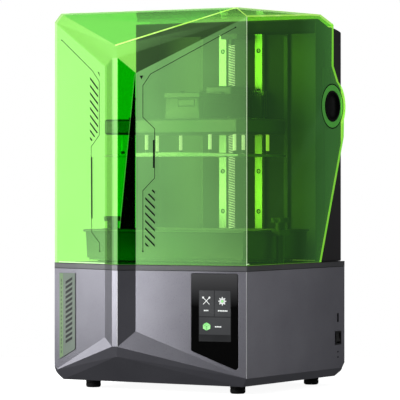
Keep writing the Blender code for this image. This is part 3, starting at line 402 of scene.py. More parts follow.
def placed(name, data):
    """A new object in the scene."""
    made = bpy.data.objects.new(name, data)
    bpy.context.scene.collection.objects.link(made)
    return made


def piece(name, bm, body, finish, stands_for=(), edge=0.0, smooth=35):
    """Makes a piece of the shapes in bm, riding on a body, with broken edges where edge is given."""
    bmesh.ops.recalc_face_normals(bm, faces=bm.faces)
    mesh = mesh_of(name, bm)
    mesh.shade_smooth()
    mesh.set_sharp_from_angle(angle=math.radians(smooth))
    mesh.materials.append(finish)
    made = placed(name, mesh)
    if edge:
        soften(made, edge, smooth)
    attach(made, body)
    if stands_for:
        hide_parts(*stands_for)
    return made


def soften(made, edge, limit):
    """Breaks the edges that turn by more than limit degrees."""
    rounding = made.modifiers.new("edges", "BEVEL")
    rounding.width = edge
    rounding.segments = 2
    rounding.limit_method = "ANGLE"
    rounding.angle_limit = math.radians(limit)
    rounding.harden_normals = True


def bevel(bm, edges, width, segments, slot):
    """Rounds some edges, and puts the new faces in a material slot."""
    bmesh.ops.bevel(bm, geom=edges, offset=width, offset_type="OFFSET", segments=segments, profile=0.5,
                    affect="EDGES", material=slot, clamp_overlap=True)


def cleaned(name):
    """A CAD node's mesh, welded, with its flat faces whole again."""
    bm = bmesh.new()
    bm.from_mesh(NODES[name].data)
    bmesh.ops.remove_doubles(bm, verts=bm.verts, dist=WELD)
    bmesh.ops.dissolve_limit(bm, angle_limit=math.radians(0.5), verts=bm.verts, edges=bm.edges)
    return bm


def body_of(name):
    return next(body for body, members in frame["record"]["behaviour"]["bodies"].items() if name in members)


def refined(name, finish, edge, smooth=30, bm=None):
    """A piece in the node's place, of the node's own shape or the one in bm, with broken edges."""
    return piece(name + "_fine", bm or cleaned(name), body_of(name), finish, (name,), edge,
                 smooth)


def keep(finish, *names):
    """CAD nodes whose shape needs nothing more, with a finish."""
    for name in names:
        NODES[name].data.materials.clear()
        NODES[name].data.materials.append(finish)


# ---- lid


LID_FINISHES = (LID_GREEN, LID_EDGE_PAINTED_GLOW, LID_RIGHT_FLANK_PAINTED_SHADE, LID_ROOF, LID_FRONT, LID_SIDE, LID_RIGHT, LID_CORNER_PAINTED_HIGHLIGHT,
                LID_FLANK_PAINTED_SHADE, LID_BROW)
LID_FRONTS = (LEFT_PANEL.to_3x3() @ INWARD, RIGHT_PANEL.to_3x3() @ INWARD, INWARD)
LID_REAR, LID_CROWN, LID_APEX, LID_BROW_FOOT, HINGE_MOUTH = 0.085, 0.533, 0.49, 0.43, 0.03


def lid_finish(middle, normal):
    """The finish of a face of the lid, by its place and the way it looks: painted glow on the cut rims,
    painted shade on the flanks, and most other facets a painted glow of their own.
    """
    below = normal.z < -0.95 and middle.z < LID_LOW.z + 0.001
    behind = abs(normal.x) < 0.3 and middle.y > LID_REAR and (middle.z < LID_CROWN or normal.y > 0.95)
    if behind and math.hypot(middle.y - HINGE.y, middle.z - HINGE.z) < HINGE_MOUTH:
        return LID_GREEN
    if below or behind:
        return LID_EDGE_PAINTED_GLOW
    if abs(normal.dot(RIGHT_FLANK.to_3x3() @ INWARD)) > 0.995:
        return LID_RIGHT_FLANK_PAINTED_SHADE
    if abs(normal.z) > 0.9:
        return LID_ROOF
    if abs(normal.z) > 0.25 and normal.y * normal.z < -0.09 and middle.z > LID_BROW_FOOT:
        return LID_BROW
    if abs(normal.z) < 0.01 and any(abs(normal.dot(front)) > 0.999 for front in LID_FRONTS):
        return LID_RIGHT if middle.x > 0 else LID_FRONT
    if normal.x > 0.9 and middle.x > HALF - 0.01 or normal.x < -0.9 and middle.x > 0.1:
        return LID_SIDE
    if abs(normal.z) < 0.1 and abs(normal.x) > 0.3 and SHOULDER_LEFT.x < middle.x < RIDGE_RIGHT.x:
        return LID_FLANK_PAINTED_SHADE
    return LID_GREEN


def lid_cover():
    """The lid's moulding: its brow and cut rims give off a painted glow, its corners a painted highlight, and
    each facet has its own tone, with painted shade on the flanks.
    """
    bm = cleaned("lid_shell")
    slots = {finish: slot for slot, finish in enumerate(LID_FINISHES)}
    for face in bm.faces:
        face.material_index = slots[lid_finish(face.calc_center_median(), face.normal)]

    def brow(ends):
        return all(p.z > LID_APEX and p.x > RIDGE_RIGHT.x - 0.007 for p in ends)

    def corner(ends):
        tall = all(abs(abs(p.x) - HALF) < 0.001 and abs(p.y - FRONT) < 0.001 for p in ends)
        crest = all(p.z > LID_HIGH.z - 0.0003 and p.y < FRONT + 0.001 for p in ends)
        return tall or crest

    def any_edge(ends):
        return True

    # The brow's edges round into the painted glow, the corners' edges into the painted highlight.
    for rule, least_turn, width, finish in ((brow, 20, 0.0012, LID_EDGE_PAINTED_GLOW), (corner, 8, 0.0008, LID_CORNER_PAINTED_HIGHLIGHT),
                                            (any_edge, 8, 0.0005, LID_GREEN)):
        chosen = []
        for edge in bm.edges:
            turn = math.degrees(edge.calc_face_angle_signed()) if edge.is_manifold else 0
            finishes = [LID_FINISHES[face.material_index] for face in edge.link_faces]
            lit = LID_EDGE_PAINTED_GLOW in finishes or LID_CORNER_PAINTED_HIGHLIGHT in finishes
            if turn > least_turn and not lit and rule([v.co for v in edge.verts]):
                chosen.append(edge)
        bevel(bm, chosen, width, 2, slots[finish])
    made = piece("lid_cover", bm, "lid", LID_GREEN, ("lid_shell",), smooth=20)
    for finish in LID_FINISHES[1:]:
        made.data.materials.append(finish)


def lid_lines():
    """The fine line, the thick bar and the row of slanting strokes printed on each front panel."""
    thin, thick = 0.0009, 0.003
    right = [(0.1529, 0.5194), (0.0231, 0.4556), (0.0113, 0.4393), (0.0113, 0.394), (0.0295, 0.3775),
             (0.0295, 0.3074), (0.0113, 0.2893), (0.0113, 0.2028)]
    left = [(0.0165, 0.5088), (0.0843, 0.4622), (0.0992, 0.4463), (0.0992, 0.369), (0.0815, 0.3526),
            (0.0826, 0.229), (0.1001, 0.2136), (0.1001, 0.2018)]
    bars = {"right": ((0.0283, 0.3615), (0.0283, 0.3216)), "left": ((0.0827, 0.3377), (0.0832, 0.2487))}
    strokes = {"right": ((0.0148, 0.0298), 0.302, 0.0141), "left": ((0.0792, 0.0965), 0.464, 0.016)}
    limits = {"right": (((0.0298, 0.2945), (0.0148, 0.2797)), ((0.0148, 0.2097), (0.0298, 0.2097))),
              "left": (((0.0965, 0.4395), (0.0792, 0.458)), ((0.0792, 0.3575), (0.0965, 0.3735)))}
    marks = {"right": ((0.0062, 0.4535), (0.0118, 0.4535), (0.009, 0.448)),
             "left": ((0.0962, 0.46), (0.099, 0.46), (0.1002, 0.4535))}
    dot, last_dot, pitch, tall, count = 0.0011, 0.0012, 0.0108, 0.0032, 11
    for side, where, line in (("right", RIGHT_PANEL, right), ("left", LEFT_PANEL, left)):
        bm = bmesh.new()
        prism(bm, ribbon(line, thin), where, -PROUD, 0)
        prism(bm, ribbon(bars[side], thick), where, -2 * PROUD, -PROUD)
        for end, size in ((line[0], dot), (line[-1], last_dot)):
            prism(bm, circle(end, size, 12), where, -2 * PROUD, -PROUD)
        prism(bm, marks[side], where, -PROUD, 0)
        (begin, finish), top, drop = strokes[side]
        for i in range(count):
            z = top - i * pitch
            stroke = ((begin, z - tall), (finish, z - drop - tall), (finish, z - drop), (begin, z))
            for start, end in limits[side]:
                stroke = clipped(stroke, start, end)
            if len(stroke) > 2:
                prism(bm, stroke, where, -PROUD, 0)
        piece("lid_lines_" + side, bm, "lid", INK)


def lid_foot():
    """A painted highlight line along the foot of the left panel's wall, and a short one at the right corner.
    """
    height, thick, inset, left_start = LID_LOW.z + 0.0008, 0.0011, 0.0004, 0.01
    stop_height, stop_end = height + 0.0012, 0.0062
    length = (SHOULDER_LEFT - CORNER_LEFT).length
    bm = bmesh.new()
    prism(bm, ribbon(((left_start, height), (length - inset, height)), thick), LEFT_PANEL, -PROUD, 0)
    prism(bm, ribbon(((inset, stop_height), (stop_end, stop_height)), thick), RIGHT_WALL, -PROUD, 0)
    piece("lid_foot_painted_highlight", bm, "lid", LID_CORNER_PAINTED_HIGHLIGHT)


def flank_painted_shade():
    """Painted shade on the right flank, a taper wide at the foot, with a painted highlight line along its
    slope.
    """
    length = (SHOULDER_RIGHT - RIDGE_RIGHT).length
    low, high, start, inset = 0.235, 0.456, 0.0037, 0.0006
    slope = ((start - 0.0007, low), (length - inset - 0.0007, high))
    bm = bmesh.new()
    prism(bm, ((start, low), (length - inset, low), (length - inset, high)), RIGHT_FLANK, -PROUD, 0)
    piece("lid_flank_painted_shade", bm, "lid", LID_PAINTED_SHADE)
    bm = bmesh.new()
    prism(bm, ribbon(slope, 0.0009), RIGHT_FLANK, -PROUD, 0)
    piece("lid_flank_painted_highlight", bm, "lid", LID_BOSS_PAINTED_GLOW)


def lid_ears():
    """Round each hinge a raised boss with a painted glow and a dark groove, and a painted glow strip along
    the rear edge of the ear.
    """
    hub, boss, ear, boss_high, groove_high = 0.0236, 0.0316, 0.039, 0.0006, 0.0003
    inner, outer = boss + 0.0002, boss + 0.0018  # the groove's radii
    boss_profile = ((hub, 0), (hub, boss_high), (boss - 0.0004, boss_high), (boss, 0.0002), (boss, 0))
    groove_profile = ((inner, 0), (inner, groove_high), (outer, groove_high), (outer, 0))
    for side, sign in SIDES:
        wall = axis_frame((sign * HALF, HINGE.y, HINGE.z), (sign, 0, 0))
        bm = bmesh.new()
        lathe(bm, boss_profile, wall, 64)
        piece("lid_boss_" + side, bm, "lid", LID_BOSS_PAINTED_GLOW)
        bm = bmesh.new()
        lathe(bm, groove_profile, wall, 64)
        piece("lid_groove_" + side, bm, "lid", INK)
        plane = Matrix.Translation((sign * HALF, 0, 0)) @ Matrix.Rotation(math.pi / 2, 4, "Z")
        bm = bmesh.new()
        arc = circle((HINGE.y, HINGE.z), ear, 20, 46, -40)
        prism(bm, ribbon(arc, 0.003), plane, *sorted((0.0, -sign * 0.0002)))
        piece("lid_ear_painted_glow_" + side, bm, "lid", LID_EDGE_PAINTED_GLOW)


# ---- hinges and tower


def hinges():
    """Dished hubs, each with a rolled lip and a pin head at its bottom, on their dark washers."""
    dish = ((0, 0.0052), (0.006, 0.0052), (0.011, 0.0049), (0.0155, 0.0038), (0.0185, 0.0018),
            (0.02, 0.0003), (0.0207, 0))  # radius, and depth below the lip
    for side, sign in SIDES:
        low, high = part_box("hinge_hub_" + side)
        inner, outer = sorted((abs(low.x), abs(high.x)))
        radius, deep = (high.z - low.z) / 2, outer - inner
        where = axis_frame((sign * inner, HINGE.y, HINGE.z), (sign, 0, 0))
        bm = bmesh.new()
        lathe(bm, (*((reach, deep - below) for reach, below in dish), (radius - 0.0008, deep),
                   (radius - 0.0002, deep - 0.0003), (radius, deep - 0.0009), (radius, 0), (0, 0)), where, 72)
        piece("hub_" + side, bm, "base", HUB_BLACK, ("hinge_hub_" + side,), smooth=50)
        low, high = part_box("hinge_washer_" + side)
        thick, outside = high.x - low.x, (high.z - low.z) / 2
        bore = radius + 0.0008
        bm = bmesh.new()
        lathe(bm, ((bore, 0.0002), (bore + 0.0003, thick), (outside - 0.0003, thick), (outside, 0.0002),
                   (outside - 0.0002, 0), (bore + 0.0002, 0)), where, 64)
        piece("washer_" + side, bm, "base", BLACK_METAL, ("hinge_washer_" + side,))


def tower():
    """The tower's moulding, with three ribs on each flank and a hinge plate on the left one, and its back
    cover.
    """
    refined("tower_housing", TOWER, 0.0012)
    refined("tower_panel", PANEL, 0.0004)
    low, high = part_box("tower_housing")
    skin = 0.0012
    ribs = ((0.024, 0.0255, 0.2, 0.5), (0.043, 0.044, 0.44, 0.515), (0.016, 0.022, 0.41, 0.47))
    plates = {"right": (0.033, 0.033, 0.39, 0.43),
              "left": (0.0332, HINGE.y - 0.033 - low.y, 0.39, 0.43)}  # the right one has no width
    for side, sign in reversed(SIDES):
        bm = bmesh.new()
        plane = Matrix.Translation((sign * high.x, 0, 0)) @ Matrix.Rotation(sign * math.pi / 2, 4, "Z")
        for near, far, bottom, top in (*ribs, plates[side]):
            start, end = sorted((sign * (low.y + near), sign * (low.y + far)))
            block(bm, (start, -skin, bottom), (end, 0, top), plane)
        piece("tower_ribs_" + side, bm, "base", PANEL, edge=0.0003)


def guide_column():
    """The dark guide plate with a bright machined chamfer along each side."""
    refined("z_backplate", PLATE, 0.0004)
    low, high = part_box("z_backplate")
    out, wide, inset, end_gap, dip = 0.0008, 0.0058, 0.0012, 0.004, 0.0001
    bm = bmesh.new()
    for sign in (-1, 1):
        x = sign * (high.x - inset)
        section = ((x, low.y + dip), (x - sign * wide, low.y - out), (x - sign * wide, low.y + dip))
        rows = [[bm.verts.new((a, b, z)) for a, b in section] for z in (low.z + end_gap, high.z - end_gap)]
        band(bm, *rows)
        for row in rows:
            bm.faces.new(row)
    piece("guide_chamfers", bm, "base", SLATE)


# ---- Z axis


def socket_screw(bm, where, radius, tall):
    """Adds a cap screw's head with a hexagon socket, standing on its frame's plane."""
    chamfer, round_steps, socket, floor_height, flats = 0.0002, 24, 0.5 * radius, 0.4 * tall, 6
    outer, rise, top, mouth, floor = (
        [bm.verts.new(where @ Vector((x, y, z))) for x, y in circle((0, 0), reach, steps)]
        for reach, z, steps in ((radius, 0, round_steps), (radius, tall - chamfer, round_steps),
                                (radius - chamfer, tall, round_steps), (socket, tall, flats),
                                (socket, floor_height, flats)))
    for first, second in ((outer, rise), (rise, top), (mouth, floor)):
        band(bm, first, second)
    bm.faces.new(outer)
    bm.faces.new(floor)
    share = round_steps // flats
    for i in range(flats):
        rim = [top[k % round_steps] for k in range(share * i, share * (i + 1) + 1)]
        bm.faces.new([mouth[(i + 1) % flats], mouth[i], *rim])


def screw_heads(name, body, heads, finish=BLACK_METAL):
    """A piece of cap screws, from rows of place, axis, radius and height, each set a hair into its face."""
    bm = bmesh.new()
    for place, axis, radius, tall in heads:
        socket_screw(bm, axis_frame(Vector(place) - HAIR * Vector(axis), axis), radius, tall)
    piece(name, bm, body, finish)


def rails():
    """Each rail with its counterbored holes, a cap screw down in every hole, and painted shade round each
    head.
    """
    pitch, first, bore, sink, count = 0.0605, 0.1965, 0.0036, 0.0026, 6
    ring_in, ring_out, ring_high, past, out = 0.002, bore - 0.0001, sink - 0.0001, 0.001, (0, -1, 0)
    for side in ("left", "right"):
        name = "rail_" + side
        low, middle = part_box(name)[0], centre_of(name).x
        rail = refined(name, RAIL_STEEL, 0, 35)
        cutters, rings = bmesh.new(), bmesh.new()
        seats = [(middle, low.y + sink, first + i * pitch) for i in range(count)]
        for seat in seats:
            hole = axis_frame(seat, out)
            lathe(cutters, ((0, 0), (bore, 0), (bore, sink + past), (0, sink + past)), hole, 24)
            # A dark ring in the gap round each head: painted shade in the hole.
            lathe(rings, ((ring_out, 0), (ring_out, ring_high), (ring_in, ring_high), (ring_in, 0)), hole, 24)
        bmesh.ops.recalc_face_normals(cutters, faces=cutters.faces)
        cutter = placed("holes", mesh_of("holes", cutters))
        modifier = rail.modifiers.new("holes", "BOOLEAN")
        modifier.operation = "DIFFERENCE"
        modifier.solver = "EXACT"
        modifier.object = cutter
        settle(rail)
        bpy.data.objects.remove(cutter, do_unlink=True)
        rail.data.shade_flat()
        screw_heads("rail_screws_" + side, "base", [((x, y - 2 * HAIR, z), out, 0.0019, 0.0025)
                                                    for x, y, z in seats], RAIL_STEEL)
        piece("rail_bore_painted_shade_" + side, rings, "base", HUB_BLACK)


def settle(made):
    """Makes a piece's evaluated shape its own mesh."""
    bpy.context.view_layer.update()
    graph = bpy.context.evaluated_depsgraph_get()
    made.data = bpy.data.meshes.new_from_object(made.evaluated_get(graph))
    made.modifiers.clear()


def lead_screw():
    """The two-start thread as one ribbed surface, its crests a painted highlight, with plain turned ends."""
    low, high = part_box("ball_screw")
    centre, radius, depth, starts, lead = centre_of("ball_screw"), (high.x - low.x) / 2, 0.0009, 2, 0.005
    around, rows_each, journal, steep, crest = 24, 16, 0.016, 2.2, 0.35
    rows = int((high.z - low.z - 2 * journal) / lead * rows_each)
    bm = bmesh.new()

    def ring(z, threaded):
        points = []
        for i in range(around):
            turn = i / around
            phase = (starts * ((z - low.z) / lead - turn)) % 1
            bulge = min(1.0, steep * min(phase, 1 - phase)) if threaded else 0.0
            reach, angle = radius - depth * (1 - bulge), math.tau * turn
            x, y = centre.x + reach * math.cos(angle), centre.y + reach * math.sin(angle)
            points.append(bm.verts.new((x, y, z)))
        return points

    heights = [(low.z, False), (low.z + journal, False)]
    heights += [(low.z + journal + lead * (i + 0.5) / rows_each, True) for i in range(rows)]
    heights += [(high.z - journal, False), (high.z, False)]
    rings = [ring(z, threaded) for z, threaded in heights]
    # Crest faces take the painted highlight finish; the roots keep the dark anodising.
    for first, second in zip(rings, rings[1:]):
        for face in band(bm, first, second):
            reach = (face.calc_center_median().xy - centre.xy).length
            face.material_index = int(reach > radius - crest * depth)
    bm.faces.new(rings[0])
    bm.faces.new(rings[-1])
    screw = piece("lead_screw_thread", bm, "screw", ANODISED, ("ball_screw",), smooth=60)
    screw.data.materials.append(CREST_PAINTED_HIGHLIGHT)


def carriage():
    """The arm with its pads and screws, the nut, the rail blocks, the mount and the release button."""
    refined("z_arm", ANODISED, 0.0008)
    refined("rail_block_left", STEEL, 0.0005)
    refined("rail_block_right", STEEL, 0.0005)
    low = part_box("z_arm")[0]
    arm_half, arm_top = 0.03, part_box("platform_mount")[1].z - 0.0007
    pad_in, pad_out, pad_front, pad_back, pad_low, pad_high = 0.003, 0.001, 0.012, 0.077, 0.013, 0.003
    bm = bmesh.new()
    for side in (-1, 1):
        start, end = sorted((side * (arm_half - pad_in), side * (arm_half + pad_out)))
        block(bm, (start, low.y + pad_front, arm_top - pad_low), (end, low.y + pad_back, arm_top - pad_high))
    piece("arm_pads", bm, "carriage", SLATE, edge=0.0004)
    screw_heads("arm_screws", "carriage", [((x, low.y + y, arm_top), UP, 0.0042, 0.0036)
                                           for x in (-0.018, 0.018) for y in (0.015, 0.07)])
    refined("platform_mount", SLATE, 0.003)
    refined("platform_release_button", SLATE, 0.0005)
    low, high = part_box("ball_nut")
    bore, tube, outer, flange = 0.0053, 0.01, (high.x - low.x) / 2, low.z + 0.0067
    bm = bmesh.new()
    lathe(bm, ((bore, low.z), (outer - BROKEN, low.z), (outer, low.z + BROKEN), (outer, flange - BROKEN),
               (outer - BROKEN, flange), (tube, flange), (tube, high.z - BROKEN), (tube - BROKEN, high.z),
               (bore, high.z)), upright(centre_of("ball_nut")))
    piece("nut_body", bm, "carriage", SCREW_STEEL, ("ball_nut",))


def platform():
    """The slab with its screws, and the crowned print sheet on its footed posts."""
    refined("platform_body", SLATE, 0.0012)
    low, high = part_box("platform_body")
    sheet_low, sheet_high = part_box("print_plate")
    edge_z, rise, steps = sheet_low.z + 0.003, 0.0034, 20
    rows, columns = (FRONT + 0.0795, FRONT + 0.1742), (-0.096, -0.0545, 0.0545, 0.096)
    crown = [(x / steps * high.x, edge_z + rise * (1 - (x / steps) ** 2)) for x in range(-steps, steps + 1)]
    outline = [(high.x, sheet_low.z), *reversed(crown), (-high.x, sheet_low.z)]
    bm = bmesh.new()
    prism(bm, outline, Matrix.Translation((0, sheet_low.y, 0)), 0, sheet_high.y - sheet_low.y)
    piece("print_sheet", bm, "carriage", STEEL_SHEET, ("print_plate",), edge=0.0003)
    posts, feet = bmesh.new(), bmesh.new()
    radius, wide, narrow, top = 0.0025, 0.0028, 0.0022, sheet_high.z
    for x in columns:
        foot = edge_z + rise * (1 - (x / high.x) ** 2) - 0.0004
        neck, shoulder, cap = foot + 0.0052, foot + 0.0044, foot + 0.005
        for y in rows:
            lathe(posts, ((0, neck), (narrow, neck), (radius, neck + 0.0004), (radius, top - 0.0004),
                          (radius - 0.0004, top), (0, top)), upright((x, y)), 32)
            lathe(feet, ((0, foot), (wide, foot), (wide, shoulder), (narrow, cap), (0, cap)),
                  upright((x, y)), 32)
    # The posts' finish is a painted glow.
    piece("sheet_posts", posts, "carriage", POST_PAINTED_GLOW)
    piece("post_feet", feet, "carriage", SLATE)
    screw_heads("slab_screws", "carriage", [((x, y, high.z), UP, 0.0045, 0.003) for x in (-0.085, 0.085)
                                            for y in (low.y + 0.03, high.y - 0.03)])


# ---- vat


def vat():
    """The vat, its clamp ring and tray with broken edges, and the knurled knobs."""
    refined("vat_frame", VAT, 0.0006)
    refined("film_clamp_ring", ANODISED, 0.0003)
    refined("tilt_tray", ANODISED, 0.0005)
    corners, notch, dish_out, dish_in, stem, thread = 80, 0.0005, 0.0075, 0.007, 0.008, 0.003
    for side in ("left", "right"):
        name = "vat_knob_" + side
        low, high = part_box(name)
        centre, radius = centre_of(name), (high.x - low.x) / 2
        grip_low, grip_high, stem_high = high.z - 0.007, high.z - 0.001, high.z - 0.0177
        bm = bmesh.new()
        rim = []
        for i in range(corners):
            reach, angle = radius - notch * (i % 2), math.tau * i / corners
            rim.append((centre.x + reach * math.cos(angle), centre.y + reach * math.sin(angle)))
        base, top = ([bm.verts.new((x, y, z)) for x, y in rim] for z in (grip_low, grip_high))
        bm.faces.new(base)
        bm.faces.new(top)
        band(bm, base, top)
        cap, foot = grip_high + HAIR / 2, grip_low - HAIR / 2
        lathe(bm, ((0, cap), (radius - 0.0008, cap), (radius - 0.0014, high.z), (dish_out, high.z),
                   (dish_in, high.z - BROKEN), (0, high.z - BROKEN)), upright(centre))
        lathe(bm, ((0, foot), (stem, foot), (stem, stem_high), (thread, stem_high), (thread, low.z + BROKEN),
                   (thread - BROKEN, low.z), (0, low.z)), upright(centre))
        refined(name, VAT, 0, 30, bm)


# ---- base


def case():
    """The case with its left and rear lower edges rounded, painted shade on its ridge, and painted highlight
    strips on two corners.
    """
    bm = cleaned("base_housing")
    foot_z, near, radius, sunk = 0.0249, 0.0003, 0.00085, 0.00006
    rounded = []
    for edge in bm.edges:
        ends = [v.co for v in edge.verts]
        left = all(abs(p.x + HALF) < near for p in ends)
        rear = all(abs(p.y - BACK) < near for p in ends)
        if (left or rear) and all(abs(p.z - foot_z) < near for p in ends):
            rounded.append(edge)
    bevel(bm, rounded, 0.0075, 8, 0)
    # Thin pale rods in the two right-hand corners paint their highlight lines.
    highlight_strips = bmesh.new()
    flank, front = (where.to_3x3() @ INWARD for where in (RIGHT_FLANK, RIGHT_PANEL))
    for at, first, second in ((RIDGE_RIGHT, INWARD, flank), (CORNER_RIGHT, front, Vector((-1, 0, 0)))):
        heights = [v.co.z for v in bm.verts if (v.co.xy - at.xy).length < 0.0004]
        inward = (first + second).normalized()
        lathe(highlight_strips, ((0, min(heights)), (radius, min(heights)), (radius, max(heights)), (0, max(heights))),
              upright(at + inward * (radius / first.dot(inward) - sunk)), 16)
    piece("base_corner_painted_highlights", highlight_strips, "base", CORNER_PAINTED_HIGHLIGHT)
    # Faces on the ridge's front take the darker copy of the enamel: painted shade.
    for face in bm.faces:
        middle = face.calc_center_median()
        on_ridge = abs(middle.x - RIDGE_RIGHT.x) < 0.01 and middle.y < RIDGE_RIGHT.y + 0.001
        face.material_index = int(on_ridge and face.normal.y < -0.999)
    refined("base_housing", CASE, 0.0008, 8, bm).data.materials.append(RIDGE_PAINTED_SHADE)


def usb_bezel():
    """The bezel round the data socket's slot, with a lip that laps over the wall."""
    low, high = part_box("usb_bezel")
    middle, lap, face = centre_of("usb_bezel"), 0.0012, high.x + 0.00006
    wide, tall = (high.y - low.y) / 2, (high.z - low.z) / 2
    slot, inner, outer = (rectangle(-a, -b, a, b)
                          for a, b in ((0.0027, 0.0064), (wide, tall), (wide + lap, tall + lap)))
    bm = bmesh.new()
    rings = [[bm.verts.new((x, middle.y + a, middle.z + b)) for a, b in outline]
             for x, outline in ((low.x, slot), (face, slot), (face, outer), (high.x, outer), (high.x, inner),
                                (low.x, inner))]
    for first, second in zip(rings, rings[1:] + rings[:1]):
        band(bm, first, second)
    refined("usb_bezel", CASE, 0, 35, bm)


def base():
    """The case with its bezel, rim and bottom plate, and grooved feet with a hollow sole."""
    case()
    usb_bezel()
    refined("top_deck", RIM, 0.0005, 7)
    refined("bottom_plate", BLACK_METAL, 0.0004)
    profile = ((0, 0.0075), (0.0007, 0.007), (0, 0.0065), (0, 0.0028), (0.0007, 0.001), (0.0022, 0),
               (0.004, 0), (0.0046, 0.0008))  # depth inside the foot's radius, and height
    for corner in ("front_left", "front_right", "rear_left", "rear_right"):
        name = "foot_" + corner
        low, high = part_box(name)
        radius = (high.x - low.x) / 2
        bm = bmesh.new()
        lathe(bm, ((0, high.z), (radius, high.z), *((radius - inside, z) for inside, z in profile),
                   (0, profile[-1][1])), upright(centre_of(name)))
        refined(name, RUBBER, 0, 45, bm)


def rim_seams():
    """The dark joints under the lid and between the rim and the case, round the front and both sides."""
    ridge_left = Vector((SHOULDER_LEFT.x + SHOULDER_RIGHT.x - RIDGE_RIGHT.x, RIDGE_RIGHT.y, 0))
    rear_left, rear_right = (Vector((side * HALF, BACK, 0)) for side in (-1, 1))
    outline = [rear_left, CORNER_LEFT, SHOULDER_LEFT, ridge_left, RIDGE_RIGHT, SHOULDER_RIGHT, CORNER_RIGHT,
               rear_right, rear_left]
    half_tall, proud, sunk = 0.0004, 0.00008, 0.0002
    bm = bmesh.new()
    for start, end in zip(outline, outline[1:]):
        for z in (BASE_HIGH.z - 0.0002, LID_LOW.z - 0.0008):
            block(bm, (0, -proud, z - half_tall), ((end - start).length, sunk, z + half_tall),
                  panel(start, end))
    piece("rim_seams", bm, "base", BLACK)


def label():
    """The label's stripe with its ticks, and plain slanting bars beside it."""
    keep(LABEL, "label_plate")
    top, left, split, low_left, slope = 0.168, 0.0128, 0.0205, 0.044, 0.4656
    bm = bmesh.new()
    prism(bm, ((left, top), (split, top), (split, low_left + slope * (split - left)), (left, low_left)),
          LEFT_PANEL, LABEL_FACE - 0.00012, LABEL_FACE - HAIR)
    piece("label_stripe", bm, "base", STRIPE)
    bm = bmesh.new()
    tick_left, tick_right, tick_top, pitch, ticks = 0.016, 0.0171, 0.16, 0.0058, 19
    long, short = 0.0042, 0.003
    for i in range(ticks):
        z = tick_top - i * pitch
        prism(bm, rectangle(tick_left, z - (short if i % 3 else long), tick_right, z), LEFT_PANEL,
              LABEL_FACE - 0.0002, LABEL_FACE - 0.00013)
    bar_left, bar_right, bar_low, rise, thick, pitch, bars = 0.0262, 0.041, 0.066, 0.007, 0.004, 0.0072, 13
    for i in range(bars):
        z = bar_low + i * pitch
        bar = (bar_left, z), (bar_right, z + rise), (bar_right, z + rise + thick), (bar_left, z + thick)
        prism(bm, bar, LEFT_PANEL, LABEL_FACE - 0.00016, LABEL_FACE - HAIR)
    piece("label_bars", bm, "base", BAR_INK)


def screen():
    """The touch screen's lit display: two tiles over one, each with an icon and a plain caption bar."""
    # The screen's glass carries the painted reflection.
    refined("touch_screen", GLASS_PAINTED_REFLECTION, 0.0005)
    left, right, high, low, split_x, split_z = 0.0975, 0.1461, 0.1489, 0.0763, 0.1211, 0.1111
    first, second, third = (SCREEN_FACE - depth for depth in (0.00006, 0.00012, 0.0002))
    bm = bmesh.new()
    prism(bm, rectangle(left, low, right, high), RIGHT_PANEL, first, SCREEN_FACE)
    piece("display_ground", bm, "base", DISPLAY)
    gap, tile_low = 0.0007, 0.0854
    bm = bmesh.new()
    for x0, z0, x1, z1 in ((left, split_z, split_x, high), (split_x, split_z, right, high),
                           (left, tile_low, right, split_z)):
        prism(bm, rectangle(x0 + gap, z0 + gap, x1 - gap, z1 - gap), RIGHT_PANEL, second, first)
    piece("display_tiles", bm, "base", TILE)
    bm = bmesh.new()
    tools_x, gear_x, icon_z, arm, skin = 0.1089, 0.1332, 0.1335, 0.0048, 0.00005
    for sign in (-1, 1):
        ends = (tools_x - sign * arm, icon_z - arm), (tools_x + sign * arm, icon_z + arm)
        prism(bm, ribbon(ends, 0.0009), RIGHT_PANEL, third - skin * sign, second)
        prism(bm, circle(ends[1], 0.0015, 12), RIGHT_PANEL, third - 2 * skin, third - skin)
    teeth, half_tooth, flare, gear_in, gear_out, gear_low = 16, 0.34, 0.06, 0.0022, 0.006, 0.0044
    for i in range(teeth):
        start, end = math.tau * (i - half_tooth) / teeth, math.tau * (i + half_tooth) / teeth
        reach = gear_low if i % 2 else gear_out
        prism(bm, [(gear_x + r * math.cos(t), icon_z + r * math.sin(t)) for r, t in
                   ((gear_in, start - flare), (reach, start), (reach, end), (gear_in, end + flare))],
              RIGHT_PANEL, third, second)
    dash, dash_pitch, half_tall = 0.002, 0.0025, 0.0009
    for middle, z, dashes in ((0.1089, 0.12, 3), (0.134, 0.1199, 6), (0.1271, 0.0973, 4)):
        for i in range(dashes):
            x = middle + (i - dashes / 2) * dash_pitch
            prism(bm, rectangle(x, z - half_tall, x + dash, z + half_tall), RIGHT_PANEL, third, second)
    piece("display_icons", bm, "base", ICON)
    bm = bmesh.new()
    x, z, half, tall, shrink = 0.1094, 0.0974, 0.0058, 0.003, 0.92
    top, bottom, middle = (x, z + 2 * tall), (x, z - 2 * tall), (x, z)
    upper_left, upper_right = (x - half, z + tall), (x + half, z + tall)
    lower_left, lower_right = (x - half, z - tall), (x + half, z - tall)
    for i, outline in enumerate(((middle, upper_right, top, upper_left),
                                 (bottom, middle, upper_left, lower_left),
                                 (bottom, lower_right, upper_right, middle))):
        corners = [Vector(point) for point in outline]
        centre = sum(corners, Vector((0, 0))) / 4
        prism(bm, [centre + (corner - centre) * shrink for corner in corners], RIGHT_PANEL,
              third - HAIR * i, second)
    prism(bm, circle((gear_x, icon_z), 0.0019, 12), RIGHT_PANEL, third + HAIR, second)
    piece("display_cube", bm, "base", ICON_GREEN)


